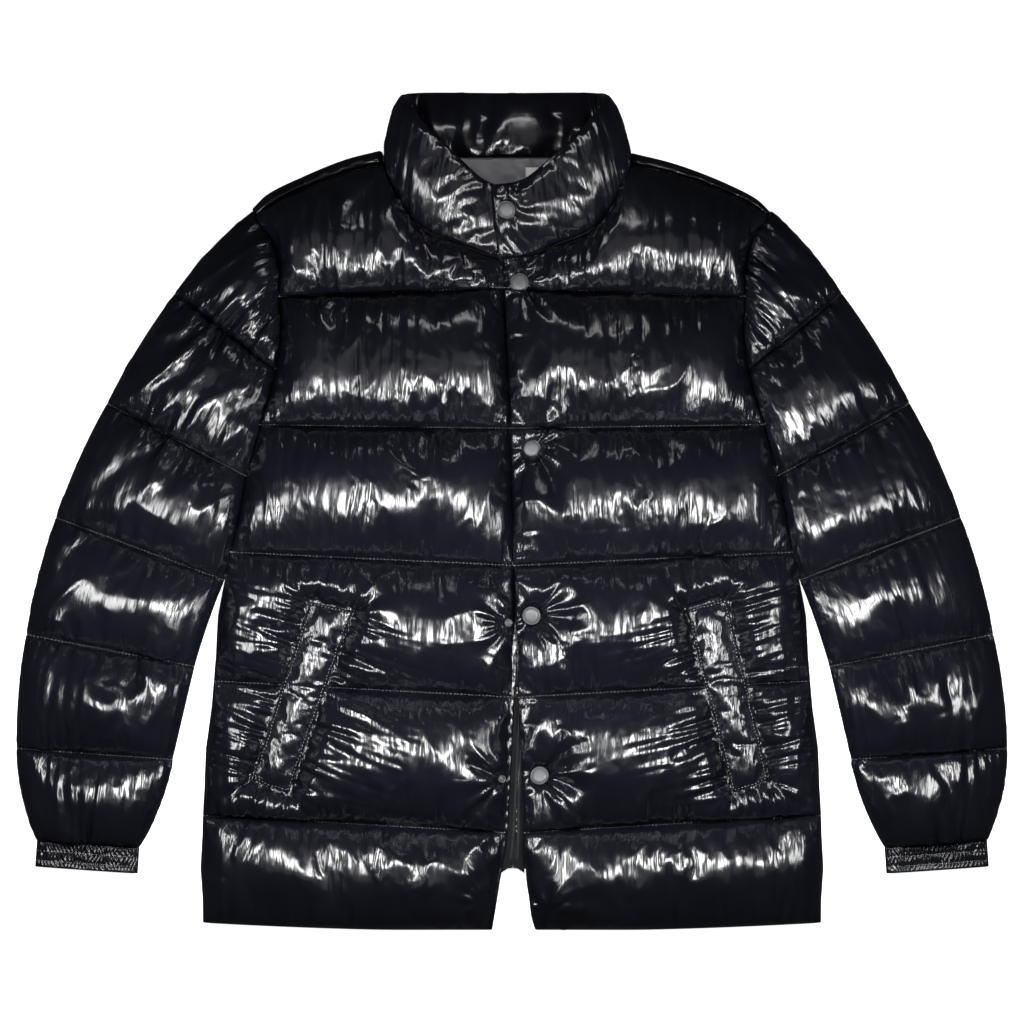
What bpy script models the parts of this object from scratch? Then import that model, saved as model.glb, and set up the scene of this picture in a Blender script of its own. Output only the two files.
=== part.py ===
"""Hip-length quilted puffer jacket, laid out flat on its back with the front up.

Metres, +Z up. X runs across the jacket (the wearer's right is at -X), Y runs from the hem to the
collar, and the jacket lies on z = 0. Each cut piece is its own closed, padded wall: its inside is
plain, and the quilting is raised in its outer points. Where a piece lies on the surface, its baffles
are pressed flat and only the quilting lines lift off.
"""

import math
from collections import namedtuple

import bmesh
import bpy
from mathutils import Matrix, Vector
from mathutils.bvhtree import BVHTree

# ---------------------------------------------------------------- driving dimensions
GAP = 0.0004             # clearance that touching pieces keep
AXIS_MERGE = 0.00005     # points of a turned piece this close are one point on its axis
PROBE_HEIGHT = 0.2       # heights are read from up here
BACK_TOP = 0.020         # the back's inside lies this high
SEAM_WALL = 0.004        # a padded wall where it is stitched down
ARCH_POWER = 0.7         # how full an inflated baffle is; 1 is a sine
GROOVE_LIFT = 0.010      # how far a quilting line of the back lifts off the surface
NECK_X = -0.0035         # the neck sits this far off the jacket's centre line
SHOULDER_HALF = 0.2327   # half the width between the shoulder tips
SEAM_OFFSET = 0.0009     # from the armhole line to the sleeve
ARMHOLE_EASE = 0.0024    # and this much more at the shoulder tip
SHOULDER_LEAN = 0.009     # the outline over the shoulders tips down to the wearer's left
SHOULDER_EASE = 0.0006   # from a front's shoulder seam to the back
SIDE_ROLL = 0.030        # a baffle rolls down to a side seam over this width
EDGE_ROLL = 0.030        # and to a front edge over this width
EDGE_SHARE = 0.38        # share of the loft that the outer front edge keeps
EDGE_INSET = 0.001       # the right front's loft starts this far inside the left front's edge
BINDING = 0.002          # and this far inside its own edge
FULL_BAFFLE = 0.085      # a baffle shorter than this puffs up less,
LOFT_FALL = 0.7          # by this power of its length
NECK_EASE = 0.06         # the neckline leaves the front edge within this share of the width
LAP_WALL = 0.0032        # the flat underlap of the right front
LAP_RAISE = 0.0042       # the left front passes this high over the underlap
LAP_WIDTH = 0.014
HEM_SWEEP = 2.0          # how late the front hem rises towards the side
HEM_FLARE = 2.2          # how late the left front's edge flares out to its hem corner
HEM_FLARE_WIDTH = 0.35   # and the share of the front that the flare reaches over
HEM_RISE = 0.048         # the back's hem arches up this much at the centre
HEM_ARCH_HALF = 0.240    # half the width of that arch
HEM_DROP_START = 0.026   # past the back's hem the fronts sag to the surface,
HEM_DROP_RUN = 0.030     # over this run
WELT_BED = 0.011         # the front is stitched down to this height under a pocket welt
WELT_MARGIN = 0.007      # and this far round it,
WELT_PUCKER = 0.020      # then recovers its loft over this distance
WELT_RIM = 0.0022        # height of a welt at its stitched rim
WELT_LOFT = 0.009        # and how far its padding rises over that
SNAP_BED = 0.008         # a snap pulls the front down to this height
SNAP_MARGIN = 0.010      # within this radius,
SNAP_PUCKER = 0.022      # and the loft recovers over this distance
SNAP_RADIUS = 0.0082
CAP_PROFILE = ((0.0, 0.0030), (0.55, 0.0027), (0.88, 0.0019), (1.0, 0.0010), (0.97, 0.0), (0.0, 0.0))
MOST_TILT = 0.45         # steepest slope that a snap leans to
CAP_STEPS, STUD_STEPS = 18, 12
STUD_RADIUS = 0.0035
STUD_PROFILE = ((0.0, 0.0024), (0.7, 0.0021), (1.0, 0.0012), (1.0, 0.0), (0.0, 0.0))

BAFFLE_PHASES = (0.0, 0.07, 0.22, 0.5, 0.78, 0.93)   # rows in a baffle, from its lower line
FRONT_COLUMNS = (
    0.0, 0.022, 0.055, 0.095, 0.15, 0.23, 0.33, 0.45, 0.54, 0.61, 0.68, 0.75, 0.82, 0.89, 0.96, 1.0,
)
BACK_COLUMNS = (0.0, 0.13, 0.30, 0.447, 0.45, 0.57, 0.69, 0.80, 0.90, 0.965, 1.0)
NECK_CORNER = 0.45       # the column where a front's neckline meets its shoulder seam

# The jacket's side: armhole, underarm and side seam, the same for front, back and sleeve.
SidePoint = namedtuple("SidePoint", "name y x")
SIDE_LINE = (
    SidePoint("hem corner", -0.370, 0.2775),
    SidePoint("hem band", -0.274, 0.2775),
    SidePoint("hip", -0.180, 0.2700),
    SidePoint("waist", -0.078, 0.2601),
    SidePoint("side body", 0.013, 0.2426),
    SidePoint("underarm", 0.078, 0.2271),
    SidePoint("lower armhole", 0.124, 0.2130),
    SidePoint("mid armhole", 0.160, 0.2098),
    SidePoint("upper armhole", 0.215, 0.2110),
    SidePoint("armhole curve", 0.243, 0.2165),
    SidePoint("shoulder tip", 0.266, 0.2327),
)

# Quilting lines of the fronts, from the hem up. loft is that of the baffle above the line.
QuiltLine = namedtuple("QuiltLine", "name centre_y side_y left_edge right_edge lap loft")
QUILT_LINES = (
    QuiltLine("hem", -0.3774, -0.3700, 0.0215, -0.0185, 0.0, 0.027),
    QuiltLine("hem line", -0.2894, -0.2740, 0.0116, -0.0045, 1.0, 0.031),
    QuiltLine("pocket line", -0.1675, -0.1530, 0.0063, 0.0014, 1.0, 0.032),
    QuiltLine("waist line", -0.0490, -0.0370, 0.0023, 0.0143, 1.0, 0.032),
    QuiltLine("chest line", 0.0745, 0.0778, -0.0009, 0.0111, 1.0, 0.032),
    QuiltLine("yoke line", 0.2010, 0.1930, -0.0068, 0.0052, 1.0, 0.028),
)

# Upper edge of a front: its neckline, then its shoulder seam.
EdgePoint = namedtuple("EdgePoint", "name x y")
FRONT_NECK = (
    EdgePoint("centre front", 0.0040, 0.2258),
    EdgePoint("low neck", 0.0170, 0.2290),
    EdgePoint("neck", 0.0480, 0.2412),
    EdgePoint("neck curve", 0.0770, 0.2530),
    EdgePoint("high neck", 0.0985, 0.2775),
    EdgePoint("side neck", 0.1150, 0.3110),
)
FRONT_SHOULDER = (
    EdgePoint("side neck", 0.1150, 0.3110),
    EdgePoint("shoulder", 0.1400, 0.3065),
    EdgePoint("mid shoulder", 0.1710, 0.2955),
    EdgePoint("outer shoulder", 0.2050, 0.2810),
    EdgePoint("shoulder tip", 0.2327, 0.2640),
)
# Upper edge of the back: its neckline, then the outline where it rolls over the shoulder.
BACK_NECK = (
    EdgePoint("centre back", 0.0, 0.3125),
    EdgePoint("back neck", 0.0650, 0.3115),
    EdgePoint("back neck curve", 0.0880, 0.2975),
    EdgePoint("under collar", 0.1040, 0.3000),
    EdgePoint("side neck", 0.1160, 0.3240),
)
BACK_SHOULDER = (
    EdgePoint("side neck", 0.1160, 0.3240),
    EdgePoint("shoulder", 0.1500, 0.3150),
    EdgePoint("mid shoulder", 0.1890, 0.2990),
    EdgePoint("outer shoulder", 0.2200, 0.2835),
    EdgePoint("shoulder tip", 0.2345, 0.2730),
)
STRIP_LOFT = 0.009       # the back rolls forward over the shoulder seam by this height
STRIP_PHASES = (0.0, 0.07, 0.3, 0.65, 1.0)
STRIP_ROLL = 0.020       # it rounds down to the armhole over this width
STRIP_DROP = 0.003       # and ends this much lower at its outline
SIDE_LIFT = 0.004        # a side seam is held as if this much of the baffle lay beside it
PRESSED = 0.6            # the share of its arch at which a baffle of the back lies flat
NECK_FACING = 0.0110     # depth of the back's last rows along its neckline

# Quilting lines of a sleeve, from the armhole down: its outer and inner fold, the height of the
# two layers' meeting plane, the loft of the baffle below and how far it bulges past
# the outer and the inner fold.
SleeveLine = namedtuple("SleeveLine", "name outer_x outer_y inner_x inner_y middle loft bulge inner_bulge")
SLEEVE_LINES = (
    SleeveLine("armhole", 0.2352, 0.2700, 0.2110, 0.1470, 0.020, 0.026, 0.0055, 0.0),
    SleeveLine("cap line", 0.3000, 0.1958, 0.2133, 0.1277, 0.020, 0.029, 0.003, 0.0015),
    SleeveLine("upper line", 0.3610, 0.0968, 0.2400, 0.0316, 0.020, 0.030, 0.003, 0.0015),
    SleeveLine("elbow line", 0.4070, -0.0059, 0.2590, -0.0623, 0.020, 0.029, 0.003, -0.0012),
    SleeveLine("forearm line", 0.4352, -0.1112, 0.2858, -0.1400, 0.019, 0.027, 0.003, 0.0),
    SleeveLine("wrist line", 0.4460, -0.2138, 0.3056, -0.2237, 0.018, 0.024, 0.005, 0.0045),
    SleeveLine("cuff seam", 0.4284, -0.2966, 0.3360, -0.3030, 0.013, 0.0, 0.0, 0.0),
)
SLEEVE_HALF_POINTS = 12  # points over the upper layer of a ring
SLEEVE_SPREAD = {-1: 0.0035, 1: -0.0030}   # the right sleeve lies this much further out
SLEEVE_SPREAD_LINES = (0.0, 1.0, 1.0, 1.0, 0.6, 0.0, 0.0)   # with these shares at its lines
SLEEVE_SIDE_WALL = 0.010
SLIT_HALF = 0.0006       # the layers lie on each other, this far from their meeting plane
SEAM_RISE = 0.006        # height of a stitched-down line over the meeting plane
SEAM_FALL = 0.011        # and its depth below it
OVER_POWER = 0.75        # how square the upper layer of a ring is; 1 is a circle, 0 a box
UNDER_POWER = 0.6        # and the lower one, which is pressed against the surface
UNDER_REACH = 1.3        # depth of the lower layer, in meeting heights, before the surface cuts it
RESTING = 0.6            # the share of its arch at which a baffle rests on the surface
LEAST_CLEAR = 0.002      # a quilting line keeps this far off the surface

CUFF_LENGTH = 0.0235
CUFF_GATHERS = 18        # over the cuff's upper side
CUFF_GATHER_DEPTH = 0.0015
CUFF_ROWS = 5
CUFF_ELASTIC_ROWS = (0, 2, 4)
CUFF_PINCH = 0.0009
CUFF_HALF_HEIGHT = 0.010
CUFF_WALL = 0.0035
CUFF_REST = 1.2          # depth of the lower side, in half heights, before the surface cuts it
GATHER_POWER = 0.5       # how early the gathers start at a fold

# The collar from its end at the centre front to the centre back, about the neck's centre: its
# lower edge, its upper edge, and the share of the full padding.
CollarStation = namedtuple("CollarStation", "name bx by bz tx ty tz padding")
COLLAR_UNDER_END = (
    CollarStation("under end", 0.0030, 0.2282, 0.0262, 0.0010, 0.2900, 0.0370, 0.18),
    CollarStation("under", -0.0180, 0.2313, 0.0250, -0.0200, 0.2985, 0.0440, 0.60),
)
COLLAR_OVER_END = (
    CollarStation("over end", 0.0080, 0.2275, 0.0310, 0.0120, 0.2925, 0.0520, 0.36),
    CollarStation("over", -0.0180, 0.2313, 0.0262, -0.0160, 0.2975, 0.0540, 0.80),
)
COLLAR_HALF = (
    CollarStation("front", -0.0475, 0.2427, 0.0248, -0.0400, 0.3160, 0.0540, 1.0),
    CollarStation("front curve", -0.0755, 0.2552, 0.0248, -0.0620, 0.3360, 0.0580, 1.0),
    CollarStation("high front", -0.0975, 0.2800, 0.0262, -0.0800, 0.3560, 0.0550, 1.0),
    CollarStation("side", -0.1065, 0.3095, 0.0320, -0.0885, 0.3715, 0.0400, 0.95),
    CollarStation("back side", -0.0870, 0.3150, 0.0125, -0.0765, 0.3770, 0.0140, 0.95),
)
COLLAR_BACK = CollarStation("centre back", 0.0, 0.3150, 0.0110, 0.0, 0.3770, 0.0110, 1.0)
COLLAR_HALF_THICKNESS = 0.0110
INNER_SHARE = 0.85       # the inner face is padded by this share of that
TANGENT_REACH = 0.2      # the band's direction is read this far to both sides, in stations
COLLAR_LEAN = -0.0028    # the upper edge lies this much to the wearer's right
COLLAR_RING_POINTS = 14
COLLAR_SPANS = 3         # sections between two stations

# Corners of the slanted pocket welts.
Welt = namedtuple("Welt", "name sign outer_top inner_top outer_bottom inner_bottom")
WELTS = (
    Welt("right", -1, (0.1812, -0.0822), (0.1438, -0.0905), (0.2327, -0.2406), (0.2012, -0.2529)),
    Welt("left", 1, (0.1922, -0.0793), (0.1574, -0.0892), (0.2301, -0.2413), (0.1989, -0.2523)),
)
WELT_ACROSS, WELT_ALONG = 6, 18
WELT_SEAT_REACH = 0.0050
WELT_CLEARANCE = 0.0008
WELT_END_ROLL = 0.10     # share of its length over which a welt rounds down to its ends

Snap = namedtuple("Snap", "name x y")
SNAPS = (
    Snap("yoke", 0.0068, 0.2057),
    Snap("chest", 0.0176, 0.0563),
    Snap("waist", 0.0176, -0.0940),
    Snap("hip", 0.0248, -0.2380),
)
COLLAR_SNAP = Snap("collar", -0.0050, 0.2705)
STUDS = (Snap("waist", -0.0035, -0.1004), Snap("hip", -0.0092, -0.2406))

# Centre lines of the zip's two tapes, from under the left front down to their free ends.
TapePoint = namedtuple("TapePoint", "y right_x left_x")
ZIP_TAPES = (
    TapePoint(-0.1690, 0.0056, 0.0140),
    TapePoint(-0.1850, 0.0046, 0.0132),
    TapePoint(-0.220, 0.0026, 0.0112),
    TapePoint(-0.260, 0.0006, 0.0086),
    TapePoint(-0.295, -0.0012, 0.0078),
    TapePoint(-0.322, -0.0052, 0.0064),
)
TAPE_WIDTH = 0.0070
TAPE_THICKNESS = 0.0014
TAPE_STEPS = 12

LINING_HALF = 0.052
LINING_LOW, LINING_HIGH = 0.262, 0.3180
LINING_THICKNESS = 0.0012
LINING_STEPS = 4         # rows of the lining, and columns in half its width
LINING_TAPER = 0.8       # its lower edge is this much of its upper one
LABEL_CENTRE = (0.0185, 0.3045)
LABEL_SIZE = (0.0120, 0.0090, 0.0010)
LABEL_EDGE = 0.0003

# Colour (linear RGB), roughness and metallic value of each finish.
Finish = namedtuple("Finish", "colour roughness metallic")
FINISHES = {
    "gloss_shell": Finish((0.006, 0.006, 0.008), 0.22, 0.0),
    "elastic_cuff": Finish((0.008, 0.008, 0.010), 0.40, 0.0),
    "satin_lining": Finish((0.055, 0.055, 0.060), 0.45, 0.0),
    "snap_metal": Finish((0.115, 0.118, 0.125), 0.34, 0.9),
    "zip_tape": Finish((0.020, 0.021, 0.024), 0.70, 0.0),
    "woven_label": Finish((0.62, 0.62, 0.62), 0.60, 0.0),
}


# ---------------------------------------------------------------- plain maths
def clamp(value, low=0.0, high=1.0):
    return max(low, min(high, value))


def mix(a, b, share):
    return a + (b - a) * share


def smooth(value):
    share = clamp(value)
    return share * share * (3 - 2 * share)


def quarter(value):
    """Rises from 0 to 1 as a quarter of a circle."""
    return math.sqrt(1 - (1 - clamp(value)) ** 2)


def arch(phase):
    """The profile of an inflated baffle between its two stitched lines."""
    return math.sin(math.pi * clamp(phase)) ** ARCH_POWER if 0 < phase < 1 else 0.0


def curve_at(knots, values, at):
    """A smooth curve through (knot, value) pairs, with rising knots."""
    last = len(knots) - 2
    k = next((i for i in range(last) if at < knots[i + 1]), last)
    slopes = []
    for i in (k, k + 1):
        low, high = max(0, i - 1), min(len(knots) - 1, i + 1)
        slopes.append((values[high] - values[low]) / (knots[high] - knots[low]))
    span = knots[k + 1] - knots[k]
    t = clamp((at - knots[k]) / span)
    rise = values[k + 1] - values[k]
    return (
        values[k]
        + rise * t * t * (3 - 2 * t)
        + span * (slopes[0] * t * (1 - t) ** 2 - slopes[1] * t * t * (1 - t))
    )


def along(points, share):
    """The point at this share of the length of a smooth curve through edge points."""
    lengths = [0.0]
    for a, b in zip(points, points[1:]):
        lengths.append(lengths[-1] + math.hypot(b.x - a.x, b.y - a.y))
    at = share * lengths[-1]
    return (
        curve_at(lengths, [p.x for p in points], at),
        curve_at(lengths, [p.y for p in points], at),
    )


def side_x(y):
    return curve_at([p.y for p in SIDE_LINE], [p.x for p in SIDE_LINE], y)


def neck_shift(x):
    return NECK_X * clamp(1 - abs(x) / SHOULDER_HALF)


def distance_outside(x, y, corners):
    """Distance from a point to a convex outline, 0 inside it. The corners run anticlockwise."""
    inside, nearest = True, 1.0
    for (ax, ay), (bx, by) in zip(corners, corners[1:] + corners[:1]):
        ex, ey = bx - ax, by - ay
        share = clamp(((x - ax) * ex + (y - ay) * ey) / (ex * ex + ey * ey))
        nearest = min(nearest, math.hypot(x - ax - share * ex, y - ay - share * ey))
        inside = inside and ex * (y - ay) - ey * (x - ax) >= 0
    return 0.0 if inside else nearest


def welt_corners(welt):
    ring = (welt.outer_top, welt.outer_bottom, welt.inner_bottom, welt.inner_top)
    corners = [(welt.sign * x, y) for x, y in ring]
    return corners if welt.sign < 0 else corners[::-1]


# ---------------------------------------------------------------- the body's heights
def back_hem_y(x):
    rise = HEM_RISE * math.cos(math.pi / 2 * clamp(abs(x) / HEM_ARCH_HALF)) ** 2
    return QUILT_LINES[0].side_y + rise


def front_base(x, y):
    """Height of what a front lies on: the back, or the surface past the back's hem."""
    past = back_hem_y(x) - HEM_DROP_START - y
    return BACK_TOP * (1 - smooth(past / HEM_DROP_RUN)) + GAP


def pulled_down(height, x, y, sign):
    """A front's height over its base, stitched down round its pocket welt and its snaps."""
    for welt in WELTS:
        if welt.sign == sign:
            away = (distance_outside(x, y, welt_corners(welt)) - WELT_MARGIN) / WELT_PUCKER
            height = mix(min(WELT_BED, height), height, smooth(away))
    for snap in SNAPS if sign > 0 else ():
        away = (math.hypot(x - snap.x, y - snap.y) - SNAP_MARGIN) / SNAP_PUCKER
        height = mix(min(SNAP_BED, height), height, smooth(away))
    return height


def front_row(line, column, sign):
    """The point of a quilting line at this share of the way from the front edge to the side."""
    start = line.left_edge if sign > 0 else roll_start(line)
    x = mix(start, sign * side_x(line.side_y), column)
    drop = column**HEM_SWEEP if line.name == "hem" else column
    return x, mix(line.centre_y, line.side_y, drop)


def roll_start(line):
    """Where the right front's loft begins: at the left front's edge, or at its own binding."""
    return min(line.right_edge - BINDING, line.left_edge - EDGE_INSET)


def front_top(column, sign, start_x):
    """The point of a front's neckline or shoulder seam at this column."""
    if column <= NECK_CORNER:
        x, y = along(FRONT_NECK, column / NECK_CORNER)
        x = mix(start_x, sign * x + neck_shift(x), smooth(column / NECK_EASE))
        return x, y
    x, y = along(FRONT_SHOULDER, (column - NECK_CORNER) / (1 - NECK_CORNER))
    return sign * x + neck_shift(x), y


def front_point(sign, band, phase, column):
    """(x, y, underside, top) of a front at a phase of a baffle and a column."""
    line = QUILT_LINES[band]
    low = front_row(line, column, sign)
    is_yoke = band == len(QUILT_LINES) - 1
    if is_yoke:
        high = front_top(column, sign, front_row(line, 0.0, sign)[0])
        above = line
    else:
        above = QUILT_LINES[band + 1]
        high = front_row(above, column, sign)
    flare = phase
    if band == 0 and sign > 0:
        flare = mix(1 - (1 - phase) ** HEM_FLARE, phase, smooth(column / HEM_FLARE_WIDTH))
    x, y = mix(low[0], high[0], flare), mix(low[1], high[1], phase)
    tip_y = FRONT_SHOULDER[-1].y if is_yoke else above.side_y
    seam_y = mix(line.side_y, tip_y, phase)
    straight = mix(side_x(line.side_y), side_x(tip_y), phase)
    x += sign * (side_x(seam_y) - straight) * column**2

    depth = high[1] - low[1]
    loft = line.loft * min(1.0, depth / FULL_BAFFLE) ** LOFT_FALL
    side_distance = (1 - column) * abs(high[0] - front_row(line, 0.0, sign)[0] if is_yoke else side_x(y))
    edge_distance = column * abs(side_x(y))
    edge_share = EDGE_SHARE if sign > 0 else 0.0
    across = mix(edge_share, 1.0, quarter(edge_distance / EDGE_ROLL))
    across *= quarter(side_distance / SIDE_ROLL)
    height = SEAM_WALL + loft * arch(phase) * across
    base = front_base(x, y)
    lap = mix(line.lap, above.lap, phase)
    raised = 0.0
    if sign > 0:
        raised = LAP_RAISE * lap * (1 - smooth((edge_distance - LAP_WIDTH) / LAP_WIDTH))
    height = pulled_down(height, x, y, sign)
    return x, y, base + raised, base + max(height, raised + SEAM_WALL)


def front_rows():
    rows = [(band, phase) for band in range(len(QUILT_LINES)) for phase in BAFFLE_PHASES]
    return rows + [(len(QUILT_LINES) - 1, 1.0)]


def front_grids(sign):
    """The upper and lower point grids of one front, its underlap included on the right."""
    tops, unders = [], []
    for band, phase in front_rows():
        row = [front_point(sign, band, phase, column) for column in FRONT_COLUMNS]
        top = [Vector((x, y, high)) for x, y, _, high in row]
        under = [Vector((x, y, low)) for x, y, low, _ in row]
        if sign < 0:
            line = QUILT_LINES[band]
            above = QUILT_LINES[min(band + 1, len(QUILT_LINES) - 1)]
            edge_x = mix(line.right_edge, above.right_edge, phase)
            edge = Vector((edge_x, top[0].y, under[0].z))
            top.insert(0, edge + Vector((0, 0, LAP_WALL)))
            under.insert(0, edge)
            top[1].z = under[1].z + LAP_WALL
        tops.append(top)
        unders.append(under)
    return tops, unders


# ---------------------------------------------------------------- the back
def back_line(column, line_index):
    """The point of the back at a line, where column runs from -1 at the right side to 1."""
    share = abs(column)
    sign = 1 if column >= 0 else -1
    if line_index == 0:
        x = sign * share * side_x(QUILT_LINES[0].side_y)
        return x, back_hem_y(x)
    if line_index < len(QUILT_LINES):
        line = QUILT_LINES[line_index]
        return sign * share * side_x(line.side_y), mix(line.centre_y, line.side_y, share)
    outline = line_index > len(QUILT_LINES)
    if share <= NECK_CORNER:
        x, y = along(BACK_NECK, share / NECK_CORNER)
        y -= 0.0 if outline else NECK_FACING
    else:
        seam = BACK_SHOULDER if outline else FRONT_SHOULDER
        x, y = along(seam, (share - NECK_CORNER) / (1 - NECK_CORNER))
        if not outline:
            y += SHOULDER_EASE
    if outline:
        y -= SHOULDER_LEAN * sign * x
    return sign * x + neck_shift(x), y


def back_point(line_index, phase, column):
    """(x, y, underside, top) of the back."""
    low, high = back_line(column, line_index), back_line(column, line_index + 1)
    x, y = mix(low[0], high[0], phase), mix(low[1], high[1], phase)
    is_strip = line_index == len(QUILT_LINES)
    if not is_strip:
        straight = mix(abs(back_line(1.0, line_index)[0]), abs(back_line(1.0, line_index + 1)[0]), phase)
        seam_y = mix(back_line(1.0, line_index)[1], back_line(1.0, line_index + 1)[1], phase)
        x += (side_x(seam_y) - straight) * column * abs(column)
    side_distance = (1 - abs(column)) * side_x(y)
    across = quarter((side_distance + SIDE_LIFT) / SIDE_ROLL)
    pressed = clamp(1 - arch(phase) * across / PRESSED)
    if is_strip:
        pressed = phase
    top = BACK_TOP
    if is_strip and abs(column) >= NECK_CORNER:
        top += STRIP_LOFT * arch(phase) * quarter(side_distance / STRIP_ROLL) - STRIP_DROP * phase
    return x, y, GROOVE_LIFT * pressed, top


def back_grids():
    columns = [-c for c in reversed(BACK_COLUMNS[1:])] + list(BACK_COLUMNS)
    rows = [(line, phase) for line in range(len(QUILT_LINES)) for phase in BAFFLE_PHASES]
    rows += [(len(QUILT_LINES), phase) for phase in STRIP_PHASES]
    tops, unders = [], []
    for line, phase in rows:
        points = [back_point(line, phase, column) for column in columns]
        tops.append([Vector((x, y, high)) for x, y, _, high in points])
        unders.append([Vector((x, y, low)) for x, y, low, _ in points])
    return tops, unders


# ---------------------------------------------------------------- sleeves and cuffs
def flattened_ring(path, inset, middle, upper, lower):
    """A ring over a flat path from the outer fold to the inner fold, and back below it. upper and
    lower give a height over and a depth under the meeting plane for a swing from 0 to 1."""
    points = []
    count = SLEEVE_HALF_POINTS
    for i in range(2 * count):
        angle = math.pi * i / count
        share = (1 - math.cos(angle)) / 2
        swing = math.sin(angle)
        x, y = path(inset + (1 - 2 * inset) * share)
        rise = upper(swing) if swing >= 0 else -lower(-swing)
        points.append(Vector((x, y, max(0.0, middle + rise))))
    return points


def sleeve_line_point(index, share, sign):
    """A point of one of the sleeve's lines. The first one is the armhole."""
    line = SLEEVE_LINES[index]
    spread = SLEEVE_SPREAD[sign] * SLEEVE_SPREAD_LINES[index] * (1 - share)
    x, y = mix(line.outer_x, line.inner_x, share), mix(line.outer_y, line.inner_y, share)
    if index == 0:
        x = side_x(y) + SEAM_OFFSET + ARMHOLE_EASE * (1 - share)
    return x + spread, y


def sleeve_path(band, phase, sign):
    """The flat path across the sleeve, from its outer to its inner fold, at a phase below a line."""
    line = SLEEVE_LINES[band]
    ends = [sleeve_line_point(band, end, sign) for end in (0, 1)]
    width = math.hypot(ends[0][0] - ends[1][0], ends[0][1] - ends[1][1])
    across = ((ends[0][0] - ends[1][0]) / width, (ends[0][1] - ends[1][1]) / width)

    def path(share):
        low, high = sleeve_line_point(band + 1, share, sign), sleeve_line_point(band, share, sign)
        push = arch(phase) * mix(line.bulge, -line.inner_bulge, share)
        x = mix(high[0], low[0], phase) + across[0] * push
        y = mix(high[1], low[1], phase) + across[1] * push
        return max(x, side_x(y) + SEAM_OFFSET), y

    return path, width


def sleeve_ring(band, phase, sign, is_bore):
    line, below = SLEEVE_LINES[band], SLEEVE_LINES[band + 1]
    path, width = sleeve_path(band, phase, sign)
    middle = mix(line.middle, below.middle, phase)
    puff = arch(phase)
    if is_bore:
        inset = SLEEVE_SIDE_WALL / width
        ring = flattened_ring(path, inset, middle, lambda s: SLIT_HALF * s, lambda s: SLIT_HALF * s)
    else:
        top = SEAM_RISE + line.loft * puff
        fall = min(SEAM_FALL, middle - LEAST_CLEAR)
        depth = mix(fall, middle * UNDER_REACH, clamp(puff / RESTING))
        ring = flattened_ring(
            path, 0.0, middle, lambda s: top * s**OVER_POWER, lambda s: depth * s**UNDER_POWER
        )
    return [Vector((sign * p.x, p.y, p.z)) for p in ring]


def sleeve_rings(sign):
    """The rings of the sleeve's outside and those of its plain bore, from the armhole down."""
    bands = range(len(SLEEVE_LINES) - 1)
    steps = [(band, phase) for band in bands for phase in BAFFLE_PHASES] + [(bands[-1], 1.0)]
    bore_steps = [(band, 0.0) for band in bands] + [(bands[-1], 1.0)]
    outside = [sleeve_ring(band, phase, sign, False) for band, phase in steps]
    return outside, [sleeve_ring(band, phase, sign, True) for band, phase in bore_steps]


def cuff_rings(sign):
    """Rings of a gathered elastic cuff below the sleeve's last line, and of its plain bore."""
    seam = SLEEVE_LINES[-1]
    outer, inner = Vector((seam.outer_x, seam.outer_y)), Vector((seam.inner_x, seam.inner_y))
    across = (outer - inner).normalized()
    down = Vector((across.y, -across.x))
    steps = 4 * CUFF_GATHERS
    outside, bore = [], []
    for row in range(CUFF_ROWS + 1):
        shift = down * (GAP + CUFF_LENGTH * row / CUFF_ROWS)
        pinch = CUFF_PINCH if row in CUFF_ELASTIC_ROWS else 0.0
        ring, hole = [], []
        for i in range(steps):
            angle = 2 * math.pi * i / steps
            share = (1 - math.cos(angle)) / 2
            swing = math.sin(angle)
            valley = CUFF_GATHER_DEPTH * (i % 2) * abs(swing) ** GATHER_POWER
            reach = CUFF_HALF_HEIGHT - pinch - valley
            if swing >= 0:
                rise = reach * swing**UNDER_POWER
            else:
                rise = -CUFF_REST * CUFF_HALF_HEIGHT * (-swing) ** GATHER_POWER
            flat = outer.lerp(inner, share) + shift
            ring.append(Vector((sign * flat.x, flat.y, max(0.0, CUFF_HALF_HEIGHT + rise))))
            flat = (outer - across * CUFF_WALL).lerp(inner + across * CUFF_WALL, share) + shift
            hole.append(Vector((sign * flat.x, flat.y, CUFF_HALF_HEIGHT + SLIT_HALF * swing)))
        outside.append(ring)
        if row in (0, CUFF_ROWS):
            bore.append(hole)
    return outside, bore


# ---------------------------------------------------------------- the collar
def collar_stations():
    """All stations in order, from the under end at the centre front round the back."""
    mirrored = [
        CollarStation(s.name, -s.bx, s.by, s.bz, -s.tx, s.ty, s.tz, s.padding)
        for s in reversed(COLLAR_OVER_END + COLLAR_HALF)
    ]
    return [*COLLAR_UNDER_END, *COLLAR_HALF, COLLAR_BACK, *mirrored]


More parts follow.
